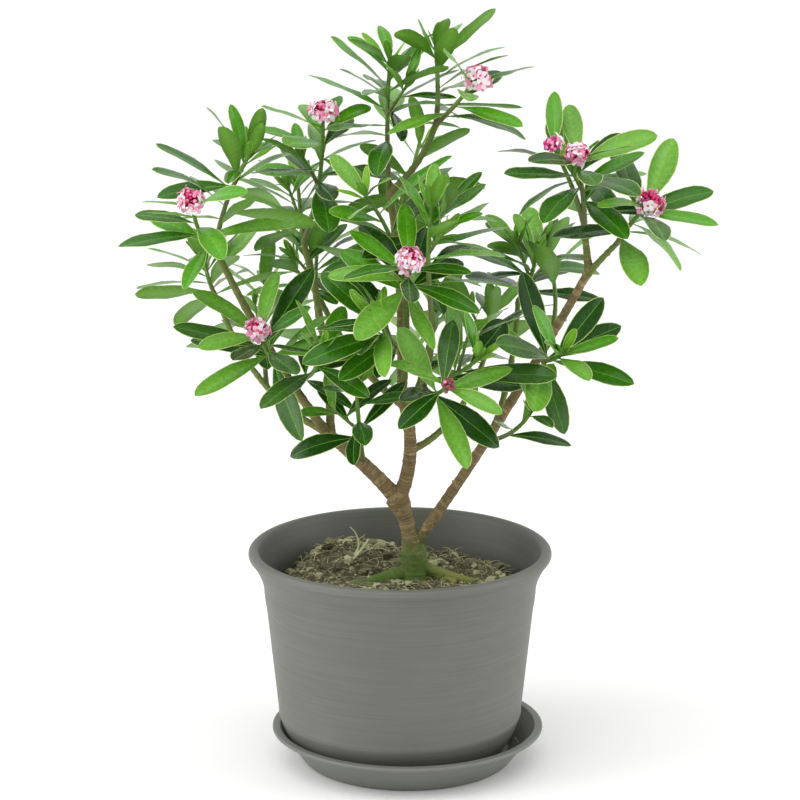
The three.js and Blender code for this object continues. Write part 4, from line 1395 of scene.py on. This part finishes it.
def makeBlossom():
    heap = newHeap()
    for mass in masses:
        draw = seeded(seeds["blossom"] + mass["owner"])
        if mass["axes"][0]["blossom"]:
            makeHead(heap, mass["head"], {**usualHead, **headsOf.get(mass["name"], {})}, draw)
    blossom = joinedPiece("blossom", heap)
    finishes = [petalFinish(name + "Petal", base) for name, base in blossomLook.items()]
    dress(blossom, "blossom", [], *finishes)


makeBlossom()
print("blossom made")


# Soil: lumpy earth with crumbs, fibres and a few dry stalks

soilForm = {
    "radius": 119.6,
    "mound": (-54, 68, 15, 42),  # x, y, height, spread
    "edge": (94, 118, 16),  # from, to, depth: it has sunk towards the wall of the pot
    "lump": 2.6,
    "clearOfRoots": 9,
    "rough": {"height": 4.6, "nearRoots": 0.45, "grain": 9, "edge": 2},
    "grid": 170,
    "depth": 30,
}
crumbForm = {
    "inset": 6,  # from the edge of the soil
    "count": 4200,
    "size": (0.6, 2.3),
    "pull": (0.7, 1.3),
    "stretch": [(0.8, 2.2), (0.6, 1.2), (0.3, 0.7)],
    "tilt": (-50, 50),
    "mossy": {"reach": 15, "share": 0.5},  # green ones near the roots
    "shades": (0.34, 0.6),  # shares up to which they are dark and of middling earth
}
clodForm = {
    "count": 420,
    "size": (2.6, 7.5),
    "pull": (0.68, 1.2),
    "stretch": [(0.8, 1.6), (0.7, 1.2), (0.4, 0.8)],
}
fibreForm = {
    "inset": 12,
    "free": 5,  # nearer than this to the edge it may hang over
    "count": 900,
    "length": (5, 18),
    "radius": (0.28, 0.14),
    "bend": (-120, 120),
    "rise": ((5, 50), (-60, 10)),
    "steps": 6,
    "sides": 4,
    "earthy": 0.6,
}
soilLook = {
    "dark": tint(40, 38, 26),
    "earth": tint(118, 115, 85),
    "pale": tint(212, 206, 166),
    "green": tint(96, 112, 62),
    "straw": tint(186, 204, 160),
}
rootPoints = np.concatenate(rootLines)


def soilHeight(x, y):
    moundX, moundY, moundHeight, spread = soilForm["mound"]
    toRoot = np.linalg.norm(rootPoints[:, :2] - np.array([x, y]), axis=1).min()
    away = math.hypot(x - moundX, y - moundY) / spread
    lumps = soilForm["lump"] * (1 + math.sin(0.13 * x + 0.21 * y) * math.cos(0.17 * y - 0.09 * x))
    clear = float(smoothRise(toRoot, soilForm["clearOfRoots"], 4 * soilForm["clearOfRoots"]))
    uneven = soilForm["rough"]
    rough = noise.fractal(Vector((x, y, 7)) / uneven["grain"], 0.8, 2.1, 4)
    rough *= uneven["height"] * lerp((uneven["nearRoots"], 1), clear)
    edgeFrom, edgeTo, depth = soilForm["edge"]
    sunk = depth * float(smoothRise(math.hypot(x, y) + uneven["edge"] * rough, edgeFrom, edgeTo))
    return soilLevel + clear * (moundHeight * math.exp(-(away**2)) + lumps) + rough - sunk


def soilFinish(name, base, other):
    finish, tree, shader = newFinish(name, base, 0.95)
    patches = useGroup(tree, grain, Fine=700.0, Broad=140.0)
    tree.links.new(blendColour(tree, patches.outputs["Broad"], base, other), shader.inputs["Base Color"])
    bumpInto(tree, shader, patches.outputs["Fine"], 0.8, 0.0015)
    return finish


def makeSoilBed():
    radius, grid = soilForm["radius"], soilForm["grid"]
    mesh = {"x_subdivisions": grid, "y_subdivisions": grid, "size": 2 * radius * mm}
    bed = added("soilBed", bpy.ops.mesh.primitive_grid_add, **mesh)
    bpy.ops.object.mode_set(mode="EDIT")
    bpy.ops.mesh.select_all(action="DESELECT")
    bpy.ops.object.mode_set(mode="OBJECT")
    for corner in bed.data.vertices:
        corner.select = math.hypot(corner.co.x, corner.co.y) > radius * mm
    bpy.ops.object.mode_set(mode="EDIT")
    bpy.ops.mesh.delete(type="VERT")
    bpy.ops.object.mode_set(mode="OBJECT")
    for corner in bed.data.vertices:
        corner.co.z = soilHeight(corner.co.x / mm, corner.co.y / mm) * mm
    bpy.ops.object.mode_set(mode="EDIT")
    bpy.ops.mesh.select_all(action="SELECT")
    bpy.ops.mesh.region_to_loop()
    bpy.ops.mesh.extrude_edges_move(TRANSFORM_OT_translate={"value": (0, 0, -soilForm["depth"] * mm)})
    bpy.ops.mesh.edge_face_add()
    bpy.ops.mesh.select_all(action="SELECT")
    bpy.ops.mesh.normals_make_consistent(inside=False)
    bpy.ops.object.mode_set(mode="OBJECT")
    bpy.ops.object.shade_smooth()
    dress(bed, "soil", ["soil"], soilFinish("darkEarth", soilLook["dark"], soilLook["earth"]))


# The twelve corners and twenty faces of an icosahedron, from which every crumb is pulled out of shape
def icosahedron():
    long = (1 + 5**0.5) / 2
    flat = [(a, b * long) for a in (-1, 1) for b in (-1, 1)]
    corners = [(0, a, b) for a, b in flat] + [(a, b, 0) for a, b in flat] + [(b, 0, a) for a, b in flat]
    corners = np.array(corners, float) / math.hypot(1, long)
    edge = np.linalg.norm(corners[:, None] - corners[None], axis=2)
    near = (edge > 0.1) & (edge < 1.1)
    faces = []
    for i in range(12):
        for j in range(i + 1, 12):
            for k in range(j + 1, 12):
                if near[i, j] and near[j, k] and near[i, k]:
                    normal = np.cross(corners[j] - corners[i], corners[k] - corners[i])
                    faces.append((i, j, k) if np.dot(normal, corners[i]) > 0 else (i, k, j))
    return corners, faces


def placeOnSoil(draw, reach):
    distance, angle = reach * math.sqrt(draw(0, 1)), draw(0, 2 * math.pi)
    x, y = distance * math.cos(angle), distance * math.sin(angle)
    return np.array([x, y, soilHeight(x, y)])


# Crumbs and clods lie tumbled at any angle
def tumbled(points, draw):
    tilt, turn = math.radians(draw(*crumbForm["tilt"])), math.radians(draw(0, 360))
    x, y, z = points.T
    y, z = y * math.cos(tilt) - z * math.sin(tilt), y * math.sin(tilt) + z * math.cos(tilt)
    x, y = x * math.cos(turn) - y * math.sin(turn), x * math.sin(turn) + y * math.cos(turn)
    return np.stack([x, y, z], axis=1)


def pulledOut(points, form, size, draw):
    pulled = np.array([draw(*form["pull"]) for point in points])[:, None] * np.array(points)
    return pulled * np.array([draw(*ends) for ends in form["stretch"]]) * size


# A clod has four faces for each of a crumb's
def splitFaces(corners, faces):
    points, split, halfway = list(corners), [], {}
    for face in faces:
        middle = []
        for a, b in zip(face, face[1:] + face[:1]):
            edge = (min(a, b), max(a, b))
            if edge not in halfway:
                halfway[edge] = len(points)
                points.append(unit(corners[a] + corners[b]))
            middle.append(halfway[edge])
        split += [(face[i], middle[i], middle[i - 1]) for i in range(3)] + [tuple(middle)]
    return points, split


def makeCrumbs():
    corners, faces = icosahedron()
    heap = newHeap()
    draw = seeded(seeds["crumbs"])
    mossy = crumbForm["mossy"]
    for form, (blank, made) in ((crumbForm, (corners, faces)), (clodForm, splitFaces(corners, faces))):
        for k in range(form["count"]):
            place = placeOnSoil(draw, soilForm["radius"] - crumbForm["inset"])
            points = pulledOut(blank, form, lerp(form["size"], draw(0, 1) ** 3), draw)
            shade = draw(0, 1)
            nearRoot = np.linalg.norm(rootPoints - place, axis=1).min() < mossy["reach"]
            kind = int(np.searchsorted(crumbForm["shades"], shade, side="right"))
            if nearRoot and shade < mossy["share"]:
                kind = 3
            addShape(heap, place + tumbled(points, draw), made, [kind] * len(made))
    crumbs = joinedPiece("soilCrumbs", heap, smoothAngle=20)
    names = ("dark", "earth", "pale", "green")
    finishes = [soilFinish(name + "Crumb", soilLook[name], soilLook["earth"]) for name in names]
    dress(crumbs, "soil", [], *finishes)


def makeFibres():
    heap = newHeap()
    draw = seeded(seeds["fibres"])
    radius, steps = soilForm["radius"], fibreForm["steps"]
    thick = np.linspace(*fibreForm["radius"], steps + 1)
    for k in range(fibreForm["count"]):
        place = placeOnSoil(draw, radius - fibreForm["inset"])
        heading = draw(0, 360)
        length = draw(*fibreForm["length"])
        headings = (heading, heading + draw(*fibreForm["bend"]))
        line = grow(place, headings, [draw(*ends) for ends in fibreForm["rise"]], length, steps)
        for point in line[1:]:
            if math.hypot(point[0], point[1]) < radius - fibreForm["free"]:
                point[2] = max(point[2], soilHeight(point[0], point[1]))
        points, faces = tubeShape(line, thick, fibreForm["sides"])
        addShape(heap, points, faces, [0 if draw(0, 1) < fibreForm["earthy"] else 1] * len(faces))
    fibres = joinedPiece("soilFibres", heap)
    finishes = [soilFinish(name + "Fibre", soilLook[name], soilLook["pale"]) for name in ("earth", "pale")]
    dress(fibres, "soil", [], *finishes)


stalks = [  # place on the soil, heading, rise, length, radius
    ((-47, 36), (0, 5), (46, 58), 29, (1.7, 1.1)),
    ((-45, 37), (0, 5), (46, 140), 36, (1.2, 0.5)),
    ((-42, 38), (10, 0), (52, -30), 36, (0.8, 0.4)),
    ((-50, 36), (20, 10), (40, 70), 24, (0.9, 0.4)),
    ((-30, 42), (0, -10), (84, -62), 40, (0.5, 0.3)),
]


def makeStalks():
    heap = newHeap()
    for (x, y), heading, rise, length, radius in stalks:
        foot = np.array([x, y, soilHeight(x, y) - 2])
        line = smoothLine(grow(foot, heading, rise, length, 6), 3)
        points, faces = tubeShape(line, np.linspace(*radius, len(line)), 6)
        addShape(heap, points, faces, [0] * len(faces))
    straw = joinedPiece("dryStalks", heap)
    dress(straw, "soil", [], soilFinish("dryStraw", soilLook["straw"], soilLook["pale"]))


makeSoilBed()
makeCrumbs()
makeFibres()
makeStalks()
print("soil laid")
